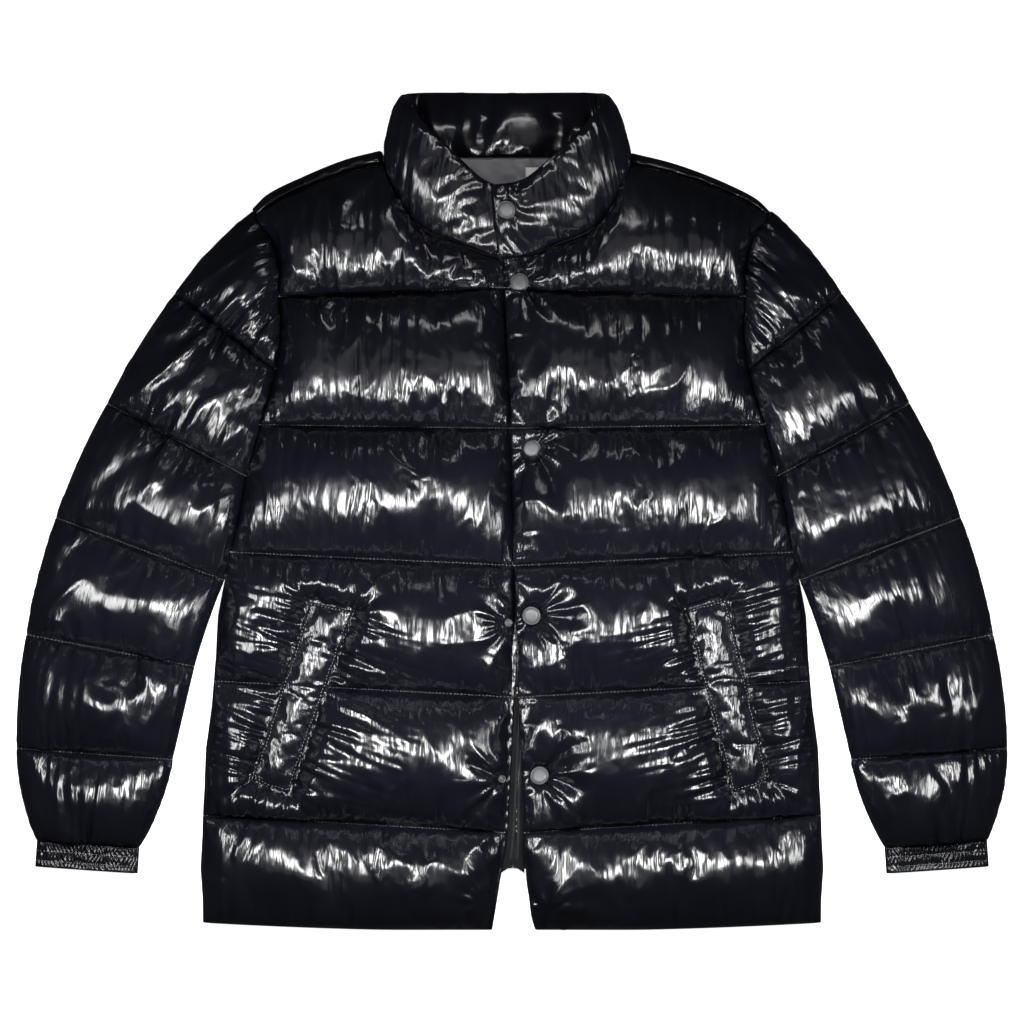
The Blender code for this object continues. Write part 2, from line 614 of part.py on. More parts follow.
def collar_sections():
    """Closed sections of the collar: a padded band, standing between its two edges."""
    stations = collar_stations()
    knots = list(range(len(stations)))
    steps = COLLAR_SPANS * (len(stations) - 1)

    def edges(at):
        read = {
            field: curve_at(knots, [getattr(station, field) for station in stations], at)
            for field in CollarStation._fields[1:]
        }
        low = Vector((read["bx"] + NECK_X, read["by"], read["bz"]))
        high = Vector((read["tx"] + NECK_X + COLLAR_LEAN, read["ty"], read["tz"]))
        return low, high, read["padding"]

    sections = []
    for step in range(steps + 1):
        at = step / COLLAR_SPANS
        low, high, padding = edges(at)
        before, after = edges(max(0, at - TANGENT_REACH)), edges(min(knots[-1], at + TANGENT_REACH))
        tangent = (after[0] + after[1]) - (before[0] + before[1])
        outward = (high - low).cross(tangent).normalized()
        ring = []
        for i in range(COLLAR_RING_POINTS):
            angle = 2 * math.pi * i / COLLAR_RING_POINTS
            share = (1 - math.cos(angle)) / 2
            swing = math.sin(angle)
            thick = COLLAR_HALF_THICKNESS * padding * swing * (1 if swing > 0 else INNER_SHARE)
            point = low.lerp(high, share) + outward * thick
            point.z = max(0.0, point.z)
            ring.append(point)
        sections.append(ring)
    return sections


# ---------------------------------------------------------------- meshes
def new_object(name, mesh_maker, finish, smooth_shaded=True):
    mesh = bpy.data.meshes.new(name)
    bm = bmesh.new()
    mesh_maker(bm)
    bmesh.ops.recalc_face_normals(bm, faces=bm.faces)
    bm.to_mesh(mesh)
    bm.free()
    if smooth_shaded:
        mesh.shade_smooth()
        mesh.set_sharp_from_angle(angle=math.radians(60))
    mesh.materials.append(material(finish))
    piece = bpy.data.objects.new(name, mesh)
    JACKET.objects.link(piece)
    return piece


def material(name):
    made = bpy.data.materials.get(name)
    if made is None:
        made = bpy.data.materials.new(name)
        made.use_nodes = True
        finish = FINISHES[name]
        shader = made.node_tree.nodes["Principled BSDF"]
        shader.inputs["Base Color"].default_value = (*finish.colour, 1)
        shader.inputs["Roughness"].default_value = finish.roughness
        shader.inputs["Metallic"].default_value = finish.metallic
    return made


def add_grid(bm, grid):
    rows = [[bm.verts.new(p) for p in row] for row in grid]
    for low, high in zip(rows, rows[1:]):
        for i in range(len(low) - 1):
            bm.faces.new((low[i], low[i + 1], high[i + 1], high[i]))
    return rows


def rim_of(rows):
    left = [row[0] for row in rows[1:-1]]
    right = [row[-1] for row in rows[1:-1]]
    return rows[0] + right + rows[-1][::-1] + left[::-1]


def padded_panel(name, tops, unders, finish="gloss_shell"):
    """A closed wall between two point grids that share their outline."""

    def make(bm):
        upper, lower = rim_of(add_grid(bm, tops)), rim_of(add_grid(bm, unders))
        for i, vert in enumerate(upper):
            j = (i + 1) % len(upper)
            bm.faces.new((vert, upper[j], lower[j], lower[i]))

    return new_object(name, make, finish)


def add_tube(bm, rings):
    loops = [[bm.verts.new(p) for p in ring] for ring in rings]
    for a, b in zip(loops, loops[1:]):
        for i in range(len(a)):
            j = (i + 1) % len(a)
            bm.faces.new((a[i], a[j], b[j], b[i]))
    return loops


def padded_tube(name, outside, bore, finish):
    """An open tube with a wall, from the rings of its outside and of its bore."""

    def make(bm):
        outer, inner = add_tube(bm, outside), add_tube(bm, bore)
        for a, b in ((outer[0], inner[0]), (outer[-1], inner[-1])):
            for i in range(len(a)):
                j = (i + 1) % len(a)
                bm.faces.new((a[i], a[j], b[j], b[i]))

    return new_object(name, make, finish)


def closed_band(name, rings, finish):
    def make(bm):
        loops = add_tube(bm, rings)
        bm.faces.new(loops[0])
        bm.faces.new(loops[-1])

    return new_object(name, make, finish)


def surface_of(piece):
    graph = bpy.context.evaluated_depsgraph_get()
    return BVHTree.FromObject(piece, graph)


def height_on(surface, x, y):
    hit = surface.ray_cast(Vector((x, y, PROBE_HEIGHT)), Vector((0, 0, -1)))
    return hit[0].z if hit[0] else 0.0


def ring_offsets(reach, count=16):
    angles = [2 * math.pi * i / count for i in range(count)]
    return [(reach * math.cos(angle), reach * math.sin(angle)) for angle in angles]


def highest_near(surface, x, y, reach):
    return max(height_on(surface, x + dx, y + dy) for dx, dy in [(0, 0), *ring_offsets(reach)])


def seat_on(surface, x, y, radius):
    """Height and slopes of a flat seat that rests on the surface round a point."""
    rim = ring_offsets(radius)
    heights = [height_on(surface, x + dx, y + dy) for dx, dy in rim]
    share = 2 / (len(rim) * radius**2)
    slopes = [
        clamp(share * sum(h * offset[axis] for h, offset in zip(heights, rim)), -MOST_TILT, MOST_TILT)
        for axis in (0, 1)
    ]
    spots = [(0, 0), *ring_offsets(radius / 2), *rim]
    level = max(
        height_on(surface, x + dx, y + dy) - slopes[0] * dx - slopes[1] * dy for dx, dy in spots
    )
    return level + GAP, slopes


# ---------------------------------------------------------------- what lies on the panels
def pocket_welt(welt, surface):
    """A folded, lightly padded welt whose underside follows the front."""
    tops, unders = [], []
    for j in range(WELT_ALONG + 1):
        down = j / WELT_ALONG
        outer = Vector(welt.outer_top).lerp(Vector(welt.outer_bottom), down)
        inner = Vector(welt.inner_top).lerp(Vector(welt.inner_bottom), down)
        top, under = [], []
        for i in range(WELT_ACROSS + 1):
            share = i / WELT_ACROSS
            flat = outer.lerp(inner, share)
            x, y = welt.sign * flat.x, flat.y
            seat = highest_near(surface, x, y, WELT_SEAT_REACH) + WELT_CLEARANCE
            crown = arch(share) * quarter(min(down, 1 - down) / WELT_END_ROLL)
            under.append(Vector((x, y, seat)))
            top.append(Vector((x, y, seat + WELT_RIM + WELT_LOFT * crown)))
        tops.append(top)
        unders.append(under)
    return padded_panel(f"pocket_welt_{welt.name}", tops, unders)


def turned(name, profile, steps, seat, finish="snap_metal"):
    """A turned piece on a seat: its half profile, from the top of its axis out and back, round Z."""
    mesh = bpy.data.meshes.new(name)
    edges = [(i, i + 1) for i in range(len(profile) - 1)]
    mesh.from_pydata([(r, 0, z) for r, z in profile], edges, [])
    mesh.materials.append(material(finish))
    piece = bpy.data.objects.new(name, mesh)
    JACKET.objects.link(piece)
    screw = piece.modifiers.new("turn", "SCREW")
    screw.steps = screw.render_steps = steps
    screw.use_merge_vertices = True
    screw.merge_threshold = AXIS_MERGE
    screw.use_smooth_shade = True
    x, y, (level, slopes) = seat
    piece.location = (x, y, level)
    up = Vector((-slopes[0], -slopes[1], 1))
    piece.rotation_euler = up.to_track_quat("Z", "Y").to_euler()
    return piece


def snap_cap(name, x, y, surface):
    profile = [(share * SNAP_RADIUS, height) for share, height in CAP_PROFILE]
    return turned(f"snap_cap_{name}", profile, CAP_STEPS, (x, y, seat_on(surface, x, y, SNAP_RADIUS)))


def stud(name, x, y, surface):
    profile = [(share * STUD_RADIUS, height) for share, height in STUD_PROFILE]
    return turned(f"snap_stud_{name}", profile, STUD_STEPS, (x, y, seat_on(surface, x, y, STUD_RADIUS)))


def thin_sheet(name, rows, thickness, finish):
    """An open grid of points with a Solidify, whose wall grows upwards from the points."""
    piece = new_object(name, lambda bm: add_grid(bm, rows), finish)
    for polygon in piece.data.polygons:
        if polygon.normal.z < 0:
            polygon.flip()
    wall = piece.modifiers.new("wall", "SOLIDIFY")
    wall.thickness = thickness
    wall.offset = 1.0
    return piece


def zip_tape(name, field):
    rows = []
    knots = [-p.y for p in ZIP_TAPES]
    for i in range(TAPE_STEPS + 1):
        at = mix(knots[0], knots[-1], i / TAPE_STEPS)
        x = curve_at(knots, [getattr(p, field) for p in ZIP_TAPES], at)
        level = BACK_TOP + GAP
        rows.append([Vector((x + s * TAPE_WIDTH / 2, -at, level)) for s in (-1, 0, 1)])
    return thin_sheet(name, rows, TAPE_THICKNESS, "zip_tape")


def neck_lining():
    """The satin lining of the back, where it shows inside the neck."""
    rows = []
    shares = [i / LINING_STEPS for i in range(-LINING_STEPS, LINING_STEPS + 1)]
    for up in shares[LINING_STEPS:]:
        y = mix(LINING_LOW, LINING_HIGH, up)
        half = LINING_HALF * mix(LINING_TAPER, 1.0, up)
        rows.append([Vector((NECK_X + half * share, y, BACK_TOP + GAP)) for share in shares])
    return thin_sheet("neck_lining", rows, LINING_THICKNESS, "satin_lining")


def neck_label():
    x, y = LABEL_CENTRE
    bpy.ops.mesh.primitive_cube_add(size=1)
    label = bpy.context.active_object
    label.name = label.data.name = "neck_label"
    label.data.transform(Matrix.Diagonal((*LABEL_SIZE, 1)))
    label.location = (x, y, BACK_TOP + 2 * GAP + LINING_THICKNESS + LABEL_SIZE[2] / 2)
    label.data.materials.append(material("woven_label"))
    edge = label.modifiers.new("edge", "BEVEL")
    edge.width = LABEL_EDGE
    edge.segments = 1
    for collection in list(label.users_collection):
        collection.objects.unlink(label)
    JACKET.objects.link(label)
    return label


# ---------------------------------------------------------------- the jacket
def clear_scene():
    for piece in list(bpy.data.objects):
        bpy.data.objects.remove(piece)


def build():
    padded_panel("back", *back_grids())
    fronts = {}
    for side, sign in (("right", -1), ("left", 1)):
        fronts[side] = padded_panel(f"front_{side}", *front_grids(sign))
        padded_tube(f"sleeve_{side}", *sleeve_rings(sign), "gloss_shell")
        padded_tube(f"cuff_{side}", *cuff_rings(sign), "elastic_cuff")
    collar = closed_band("collar", collar_sections(), "gloss_shell")
    bpy.context.view_layer.update()
    surfaces = {side: surface_of(front) for side, front in fronts.items()}
    for welt in WELTS:
        pocket_welt(welt, surfaces[welt.name])
    for snap in SNAPS:
        snap_cap(snap.name, snap.x, snap.y, surfaces["left"])
    snap_cap(COLLAR_SNAP.name, COLLAR_SNAP.x, COLLAR_SNAP.y, surface_of(collar))
    for fastener in STUDS:
        stud(fastener.name, fastener.x, fastener.y, surfaces["right"])
    zip_tape("zip_tape_right", "right_x")
    zip_tape("zip_tape_left", "left_x")
    neck_lining()
    neck_label()


clear_scene()
JACKET = bpy.data.collections.new("puffer_jacket")
bpy.context.scene.collection.children.link(JACKET)
build()
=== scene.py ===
# %% [markdown]
# # A quilted puffer jacket, laid out flat
# The jacket lies on its back on a pale floor with its front up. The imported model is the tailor's
# block: it says where every panel starts and ends. This lesson dresses that block. Each panel is cut
# again as a fine grid, blown up as cloth between its stitched lines, sewn with thread, and lit.

# %% Load the block
import math
from collections import namedtuple

import bmesh
import bpy
import numpy as np
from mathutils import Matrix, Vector, noise
from mathutils.geometry import delaunay_2d_cdt


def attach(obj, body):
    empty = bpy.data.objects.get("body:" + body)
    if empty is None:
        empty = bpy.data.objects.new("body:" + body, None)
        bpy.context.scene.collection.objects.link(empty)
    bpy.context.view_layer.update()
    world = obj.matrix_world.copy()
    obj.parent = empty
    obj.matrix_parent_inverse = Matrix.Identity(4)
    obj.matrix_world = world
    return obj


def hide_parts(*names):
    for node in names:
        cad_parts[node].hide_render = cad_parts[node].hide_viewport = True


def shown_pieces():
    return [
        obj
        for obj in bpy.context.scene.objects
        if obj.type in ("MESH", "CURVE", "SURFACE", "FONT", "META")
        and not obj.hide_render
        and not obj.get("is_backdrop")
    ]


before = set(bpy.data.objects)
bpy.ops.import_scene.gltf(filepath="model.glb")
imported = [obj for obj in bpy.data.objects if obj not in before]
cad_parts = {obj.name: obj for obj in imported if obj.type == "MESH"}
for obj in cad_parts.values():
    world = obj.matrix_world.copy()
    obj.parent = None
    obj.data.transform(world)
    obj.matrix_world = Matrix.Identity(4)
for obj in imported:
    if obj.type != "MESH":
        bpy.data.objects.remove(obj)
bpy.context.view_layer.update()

# %% [markdown]
# ## Measurements
# A pattern is a table of points. These are the block's own numbers, in metres: X runs across the
# jacket with the wearer's right at minus X, Y runs from the hem to the collar, and the floor is z = 0.
# The side line serves the fronts, the back and the sleeves, so their seams always meet.

# %% The side line, from the hem to the shoulder tip
GAP = 0.0004
BACK_TOP = 0.020
SEAM_WALL = 0.004
NECK_X = -0.0035
SHOULDER_HALF = 0.2327


def table(kind, *rows):
    """Rows of a table, with a name for each column."""
    return tuple(kind(*row) for row in rows)


SidePoint = namedtuple("SidePoint", "name y x")
SIDE_LINE = table(
    SidePoint,
    ("hem corner", -0.370, 0.2775),
    ("hem band", -0.274, 0.2775),
    ("hip", -0.180, 0.2700),
    ("waist", -0.078, 0.2601),
    ("side body", 0.013, 0.2426),
    ("underarm", 0.078, 0.2271),
    ("lower armhole", 0.124, 0.2130),
    ("mid armhole", 0.160, 0.2098),
    ("upper armhole", 0.215, 0.2110),
    ("armhole curve", 0.243, 0.2165),
    ("shoulder tip", 0.266, 0.2327),
)

# %% The quilting lines of the fronts, from the hem up, each with the loft of the baffle above it
QuiltLine = namedtuple("QuiltLine", "name centre_y side_y left_edge right_edge lap loft")
QUILT_LINES = table(
    QuiltLine,
    ("hem", -0.3774, -0.3700, 0.0215, -0.0185, 0.0, 0.023),
    ("hem line", -0.2894, -0.2740, 0.0116, -0.0045, 1.0, 0.0265),
    ("pocket line", -0.1675, -0.1530, 0.0063, 0.0014, 1.0, 0.027),
    ("waist line", -0.0490, -0.0370, 0.0023, 0.0143, 1.0, 0.027),
    ("chest line", 0.0745, 0.0778, -0.0009, 0.0111, 1.0, 0.027),
    ("yoke line", 0.2010, 0.1930, -0.0068, 0.0052, 1.0, 0.024),
)
YOKE = len(QUILT_LINES) - 1

# %% The necklines and shoulder seams of the fronts and of the back
EdgePoint = namedtuple("EdgePoint", "x y")
FRONT_NECK = table(
    EdgePoint,
    (0.0040, 0.2258), (0.0170, 0.2290), (0.0480, 0.2412), (0.0770, 0.2530),
    (0.0985, 0.2775), (0.1150, 0.3110),
)
FRONT_SHOULDER = table(
    EdgePoint,
    (0.1150, 0.3110), (0.1400, 0.3065), (0.1710, 0.2955), (0.2050, 0.2810),
    (0.2327, 0.2640),
)
BACK_NECK = table(
    EdgePoint,
    (0.0, 0.3125), (0.0650, 0.3115), (0.0880, 0.2975), (0.1040, 0.3000),
    (0.1160, 0.3240),
)
BACK_SHOULDER = table(
    EdgePoint,
    (0.1160, 0.3240), (0.1500, 0.3150), (0.1890, 0.2990), (0.2200, 0.2835),
    (0.2340, 0.2702),
)
NECK_CORNER = 0.45

# %% The sleeves: their quilting lines from the armhole down, with both folds
SleeveLine = namedtuple(
    "SleeveLine", "name outer_x outer_y inner_x inner_y middle loft bulge inner_bulge"
)
SLEEVE_LINES = table(
    SleeveLine,
    ("armhole", 0.2352, 0.2700, 0.2110, 0.1470, 0.020, 0.026, 0.0055, 0.0012),
    ("cap line", 0.3000, 0.1958, 0.2124, 0.1277, 0.020, 0.029, 0.003, 0.003),
    ("upper line", 0.3610, 0.0968, 0.2396, 0.0316, 0.020, 0.030, 0.003, 0.0025),
    ("elbow line", 0.4070, -0.0059, 0.2590, -0.0623, 0.020, 0.029, 0.003, -0.0012),
    ("forearm line", 0.4352, -0.1112, 0.2858, -0.1400, 0.019, 0.027, 0.003, 0.0),
    ("wrist line", 0.4460, -0.2138, 0.3056, -0.2237, 0.018, 0.024, 0.005, 0.0045),
    ("cuff seam", 0.4284, -0.2966, 0.3360, -0.3030, 0.013, 0.0, 0.0, 0.0),
)
SLEEVE_SPREAD = {-1: 0.0035, 1: -0.0030}
SLEEVE_SPREAD_LINES = (0.0, 1.0, 1.0, 1.0, 0.6, 0.0, 0.0)

# %% The collar, from its under end at the centre front round the back to its over end
CollarStation = namedtuple("CollarStation", "bx by bz tx ty tz padding")
COLLAR_UNDER_END = table(
    CollarStation,
    (0.0030, 0.2282, 0.0262, 0.0010, 0.2900, 0.0370, 0.18),
    (-0.0180, 0.2313, 0.0250, -0.0200, 0.2985, 0.0440, 0.60),
)
COLLAR_OVER_END = table(
    CollarStation,
    (0.0080, 0.2275, 0.0310, 0.0120, 0.2925, 0.0520, 0.36),
    (-0.0180, 0.2313, 0.0262, -0.0160, 0.2975, 0.0540, 0.80),
)
COLLAR_HALF = table(
    CollarStation,
    (-0.0475, 0.2427, 0.0248, -0.0400, 0.3160, 0.0540, 1.0),
    (-0.0755, 0.2552, 0.0248, -0.0620, 0.3360, 0.0580, 1.0),
    (-0.0975, 0.2800, 0.0262, -0.0800, 0.3560, 0.0550, 1.0),
    (-0.1065, 0.3095, 0.0320, -0.0885, 0.3715, 0.0400, 0.95),
    (-0.0870, 0.3150, 0.0125, -0.0765, 0.3770, 0.0140, 0.95),
)
COLLAR_BACK = CollarStation(0.0, 0.3150, 0.0110, 0.0, 0.3770, 0.0110, 1.0)
COLLAR_HALF_THICKNESS = 0.0110
COLLAR_LEAN = -0.0028

# %% The pocket welts, the snaps and the zip
Welt = namedtuple("Welt", "name sign outer_top inner_top outer_bottom inner_bottom")
WELTS = table(
    Welt,
    ("right", -1, (0.1812, -0.0822), (0.1438, -0.0905), (0.2327, -0.2406), (0.2012, -0.2529)),
    ("left", 1, (0.1922, -0.0793), (0.1574, -0.0892), (0.2301, -0.2413), (0.1989, -0.2523)),
)
Snap = namedtuple("Snap", "name x y")
SNAPS = table(
    Snap,
    ("yoke", 0.0068, 0.2057),
    ("chest", 0.0176, 0.0563),
    ("waist", 0.0176, -0.0940),
    ("hip", 0.0248, -0.2380),
)
COLLAR_SNAP = Snap("collar", -0.0050, 0.2705)
STUDS = (Snap("waist", -0.0035, -0.1004), Snap("hip", -0.0092, -0.2406))
# A hidden snap under each hem corner presses the padding here.
HEM_PRESS = {1: (0.0335, -0.3600), -1: (-0.0252, -0.3507)}
TapePoint = namedtuple("TapePoint", "y right_x left_x")
ZIP_TAPES = table(
    TapePoint,
    (-0.1690, 0.0056, 0.0140),
    (-0.1850, 0.0046, 0.0132),
    (-0.220, 0.0026, 0.0112),
    (-0.260, 0.0006, 0.0086),
    (-0.295, -0.0012, 0.0078),
    (-0.3258, -0.0052, 0.0064),
)
print("pattern:", len(QUILT_LINES), "front baffles,", len(SLEEVE_LINES) - 1, "sleeve baffles")

# %% [markdown]
# ## Plain maths
# Every panel is worked out from a few rules: mix between two values, ease in and out, a quarter
# circle for an edge that rolls over, an arch from one stitched line to the next, a pillow that is
# fuller and flatter on top, and a smooth curve through the points of a table.


# %% Rules for curves
ARCH_POWER, PILLOW_POWER = 0.7, 0.5


def clamp(value, low=0.0, high=1.0):
    return max(low, min(high, value))


def mix(a, b, share):
    return a + (b - a) * share


def smooth(value):
    share = clamp(value)
    return share * share * (3 - 2 * share)


def quarter(value):
    return math.sqrt(1 - (1 - clamp(value)) ** 2)


def arch(phase, power=ARCH_POWER):
    return math.sin(math.pi * clamp(phase)) ** power if 0 < phase < 1 else 0.0


def pillow(phase):
    return arch(phase, PILLOW_POWER)


def curve_at(knots, values, at):
    last = len(knots) - 2
    k = next((i for i in range(last) if at < knots[i + 1]), last)
    slopes = []
    for i in (k, k + 1):
        low, high = max(0, i - 1), min(len(knots) - 1, i + 1)
        slopes.append((values[high] - values[low]) / (knots[high] - knots[low]))
    span = knots[k + 1] - knots[k]
    t = clamp((at - knots[k]) / span)
    rise = values[k + 1] - values[k]
    return (
        values[k]
        + rise * t * t * (3 - 2 * t)
        + span * (slopes[0] * t * (1 - t) ** 2 - slopes[1] * t * t * (1 - t))
    )


def along(points, share):
    lengths = [0.0]
    for a, b in zip(points, points[1:]):
        lengths.append(lengths[-1] + math.hypot(b.x - a.x, b.y - a.y))
    at = share * lengths[-1]
    return (
        curve_at(lengths, [p.x for p in points], at),
        curve_at(lengths, [p.y for p in points], at),
    )


def ripple(x, y, seed, scale=30.0):
    """Smooth noise from -1 to 1, the same on every run."""
    return noise.noise(Vector((x * scale, y * scale, seed)))


# %% Distances on the pattern
RING = 0.012
CORNER_EASE, CORNER_EASE_WIDTH = -0.0075, 0.35


def side_x(y):
    return curve_at([p.y for p in SIDE_LINE], [p.x for p in SIDE_LINE], y)


def neck_shift(x):
    return NECK_X * clamp(1 - abs(x) / SHOULDER_HALF)


def corner_ease(share, sign):
    """How much further the left neck corner reaches in under the collar than the right one."""
    return CORNER_EASE * smooth(1 - abs(share - NECK_CORNER) / CORNER_EASE_WIDTH) * (sign > 0)


def on_ring(x, y, centre_x, centre_y, away):
    """The point of a small ring round a centre that lies on the ray to (x, y)."""
    ring = RING / max(away, 1e-6)
    return centre_x + ring * (x - centre_x), centre_y + ring * (y - centre_y)


def beside(x, y, corners):
    """From a point to a convex outline: the distance, 0 inside, and a point of reference on a ring
    that lies a little outside it, where folds that run away from the outline all start."""
    inside, nearest = True, (1.0, x, y)
    for (ax, ay), (bx, by) in zip(corners, corners[1:] + corners[:1]):
        ex, ey = bx - ax, by - ay
        share = clamp(((x - ax) * ex + (y - ay) * ey) / (ex * ex + ey * ey))
        near_x, near_y = ax + share * ex, ay + share * ey
        nearest = min(nearest, (math.hypot(x - near_x, y - near_y), near_x, near_y))
        inside = inside and ex * (y - ay) - ey * (x - ax) >= 0
    away, near_x, near_y = nearest
    return (0.0 if inside else away, *on_ring(x, y, near_x, near_y, away))


def welt_corners(welt):
    ring = (welt.outer_top, welt.outer_bottom, welt.inner_bottom, welt.inner_top)
    corners = [(welt.sign * x, y) for x, y in ring]
    return corners if welt.sign < 0 else corners[::-1]


print("side line at the waist:", round(side_x(-0.05), 4))

# %% [markdown]
# ## Finishes
# A finish is a small network of shader nodes. One class wraps a node's output so that the sums can
# be written as plain Python, and one method adds any other node. Values that are the same all over
# a surface go straight on the shader.


# %% A wire, and a recipe for a finish
class Wire:
    """The output of a shader node, which adds and multiplies like a number."""

    def __init__(self, recipe, socket):
        self.recipe, self.socket = recipe, socket

    def math(self, operation, first, second):
        out = self.recipe.add("ShaderNodeMath", {"operation": operation}, {0: first, 1: second})
        return out["Value"]

    def __add__(self, other):
        return self.math("ADD", self, other)

    def __sub__(self, other):
        return self.math("SUBTRACT", self, other)

    def __rsub__(self, other):
        return self.math("SUBTRACT", other, self)

    def __mul__(self, other):
        return self.math("MULTIPLY", self, other)

    def __pow__(self, other):
        return self.math("POWER", self, other)

    def __abs__(self):
        return self.math("ABSOLUTE", self, 0.0)

    __radd__, __rmul__ = __add__, __mul__


class Recipe:
    """A material whose nodes are added one after the other."""

    def __init__(self, name, constants):
        self.material = bpy.data.materials.new(name)
        self.material.use_nodes = True
        self.tree = self.material.node_tree
        self.shader = self.tree.nodes["Principled BSDF"]
        self.feed(self.shader, constants)

    def feed(self, node, sockets):
        for key, value in sockets.items():
            socket = node.inputs[key] if isinstance(key, int) else self.socket(node, key)
            if isinstance(value, Wire):
                self.tree.links.new(value.socket, socket)
            else:
                socket.default_value = value

    def socket(self, node, key):
        return next(s for s in node.inputs if s.identifier == key or (s.name == key and s.enabled))

    def add(self, kind, settings=None, sockets=None):
        node = self.tree.nodes.new(kind)
        for key, value in (settings or {}).items():
            setattr(node, key, value)
        self.feed(node, sockets or {})
        return {out.identifier: Wire(self, out) for out in node.outputs}

    def place(self):
        return self.add("ShaderNodeTexCoord")["Object"]

    def noise(self, where, scale, detail, rough=0.5):
        sockets = {"Vector": where, "Scale": scale, "Detail": detail, "Roughness": rough}
        out = self.add("ShaderNodeTexNoise", None, sockets)
        return out["Fac"] if "Fac" in out else out["Factor"]

    def stretched(self, where, x, y, z=1.0):
        settings = {"operation": "MULTIPLY"}
        return self.add("ShaderNodeVectorMath", settings, {0: where, 1: (x, y, z)})["Vector"]

    def relief(self, height, distance, strength, below=None):
        sockets = {"Height": height, "Distance": distance, "Strength": strength}
        if below is not None:
            sockets["Normal"] = below
        return self.add("ShaderNodeBump", None, sockets)["Normal"]

    def blend(self, factor, first, second):
        sockets = {"Factor_Float": factor, "A_Color": (*first, 1), "B_Color": (*second, 1)}
        return self.add("ShaderNodeMix", {"data_type": "RGBA"}, sockets)["Result_Color"]

    def finish(self, sockets):
        self.feed(self.shader, sockets)
        return self.material


# %% [markdown]
# ### The wet-look shell
# The shell is a thin black nylon with a polyurethane film pressed into it. The film is what shines,
# and it crinkles with the cloth. Bumps don't show in a shader's coat, so the gloss comes from its
# base, and only a trace of coat lies on top. On a stitched line the needle crushes the film, and it
# goes a little duller. The panels carry a map called "cloth" in metres, and a value called "seam"
# that is 1 on a stitched line and fades to 0.


# %% Coated black nylon
def coated_nylon():
    r = Recipe("gloss_shell", {"Specular IOR Level": 0.42, "Coat Roughness": 0.1, "Coat IOR": 1.4})
    cloth = r.add("ShaderNodeUVMap", {"uv_map": "cloth"})["UV"]
    seam = r.add("ShaderNodeAttribute", {"attribute_name": "seam"})["Fac"]
    crinkle = abs(r.noise(r.stretched(cloth, 120, 26), 1.0, 3.0, 0.6) - 0.5)
    creases = abs(r.noise(r.stretched(cloth, 38, 22), 1.0, 2.0, 0.55) - 0.5)
    streaks = r.noise(r.stretched(cloth, 210, 36), 1.0, 2.0, 0.55)
    specks = abs(r.noise(r.stretched(cloth, 290, 120), 1.0, 1.0) - 0.5)
    grain = r.noise(cloth, 2600, 1.0)
    handled = r.noise(cloth, 14, 3.0)
    soft = r.relief(creases, 0.0020, 0.7)
    drawn = r.relief(streaks * (0.35 + 0.65 * seam), 0.0014, 0.8, soft)
    sharp = r.relief(crinkle * seam + 1.4 * specks * seam**6, 0.0036, 0.9, drawn)
    normal = r.relief(grain, 0.00003, 0.35, sharp)
    return r.finish({
        "Base Color": r.blend(handled, (0.0018, 0.0020, 0.0034), (0.0040, 0.0044, 0.0070)),
        "Roughness": 0.14 + 0.10 * handled + 0.10 * seam**14,
        "Coat Weight": 0.08 * (1 - handled),
        "Normal": normal,
    })


# %% [markdown]
# ### The smaller finishes
# The cuffs are the same nylon, a little rougher from wear. The lining is a grey satin, whose threads
# run one way; its colour goes lighter and darker in broad patches, a painted shade of its folds. The
# snaps are dull gunmetal, the zip tape is a woven band, and the thread is a twisted polyester whose
# colour is painted a lighter grey than the cloth: a painted highlight for the light that a thread
# standing proud catches.


# %% Cuff cloth
def shirred_nylon():
    r = Recipe("elastic_cuff", {"Specular IOR Level": 0.42})
    where = r.place()
    wear = r.noise(where, 60, 3.0)
    fine = r.noise(where, 900, 2.0)
    return r.finish({
        "Base Color": r.blend(wear, (0.0020, 0.0022, 0.0034), (0.0045, 0.0048, 0.0070)),
        "Roughness": 0.17 + 0.12 * wear,
        "Normal": r.relief(fine, 0.00012, 0.5),
    })


# %% Satin lining, thread, tape and label
def satin():
    r = Recipe("satin_lining", {"Sheen Weight": 0.25, "Sheen Roughness": 0.4, "Anisotropic": 0.4})
    where = r.place()
    threads = r.noise(r.stretched(where, 2400, 240, 240), 1.0, 1.0)
    # folds: broad noise patches that make the lining's colour lighter and darker, a painted shade of
    # soft folds in the satin.
    folds = r.noise(where, 45, 2.0)
    return r.finish({
        "Base Color": r.blend(folds, (0.06, 0.06, 0.066), (0.12, 0.12, 0.13)),
        "Roughness": 0.36 + 0.12 * threads,
        "Normal": r.relief(threads, 0.00008, 0.6),
    })


def twisted_thread():
    r = Recipe("sewing_thread", {"Sheen Weight": 0.2})
    where = r.place()
    ply = r.noise(where, 3500, 1.0)
    return r.finish({
        # The colour is a grey thread painted lighter still: partly the thread's own grey, partly a
        # painted highlight for the light that a raised thread catches, varied a little along its plies.
        "Base Color": r.blend(ply, (0.10, 0.10, 0.105), (0.28, 0.28, 0.29)),
        "Roughness": 0.45 + 0.15 * ply,
    })


def woven_tape():
    r = Recipe("zip_tape", {"Specular IOR Level": 0.12})
    where = r.place()
    ribs = r.add("ShaderNodeTexWave", {"bands_direction": "Y"},
                 {"Vector": where, "Scale": 420.0, "Distortion": 0.6})["Fac"]
    lint = r.noise(where, 1500, 2.0)
    return r.finish({
        "Base Color": r.blend(lint, (0.004, 0.0044, 0.0055), (0.009, 0.0094, 0.011)),
        "Roughness": 0.55 + 0.2 * lint,
        "Normal": r.relief(ribs, 0.0004, 0.8),
    })


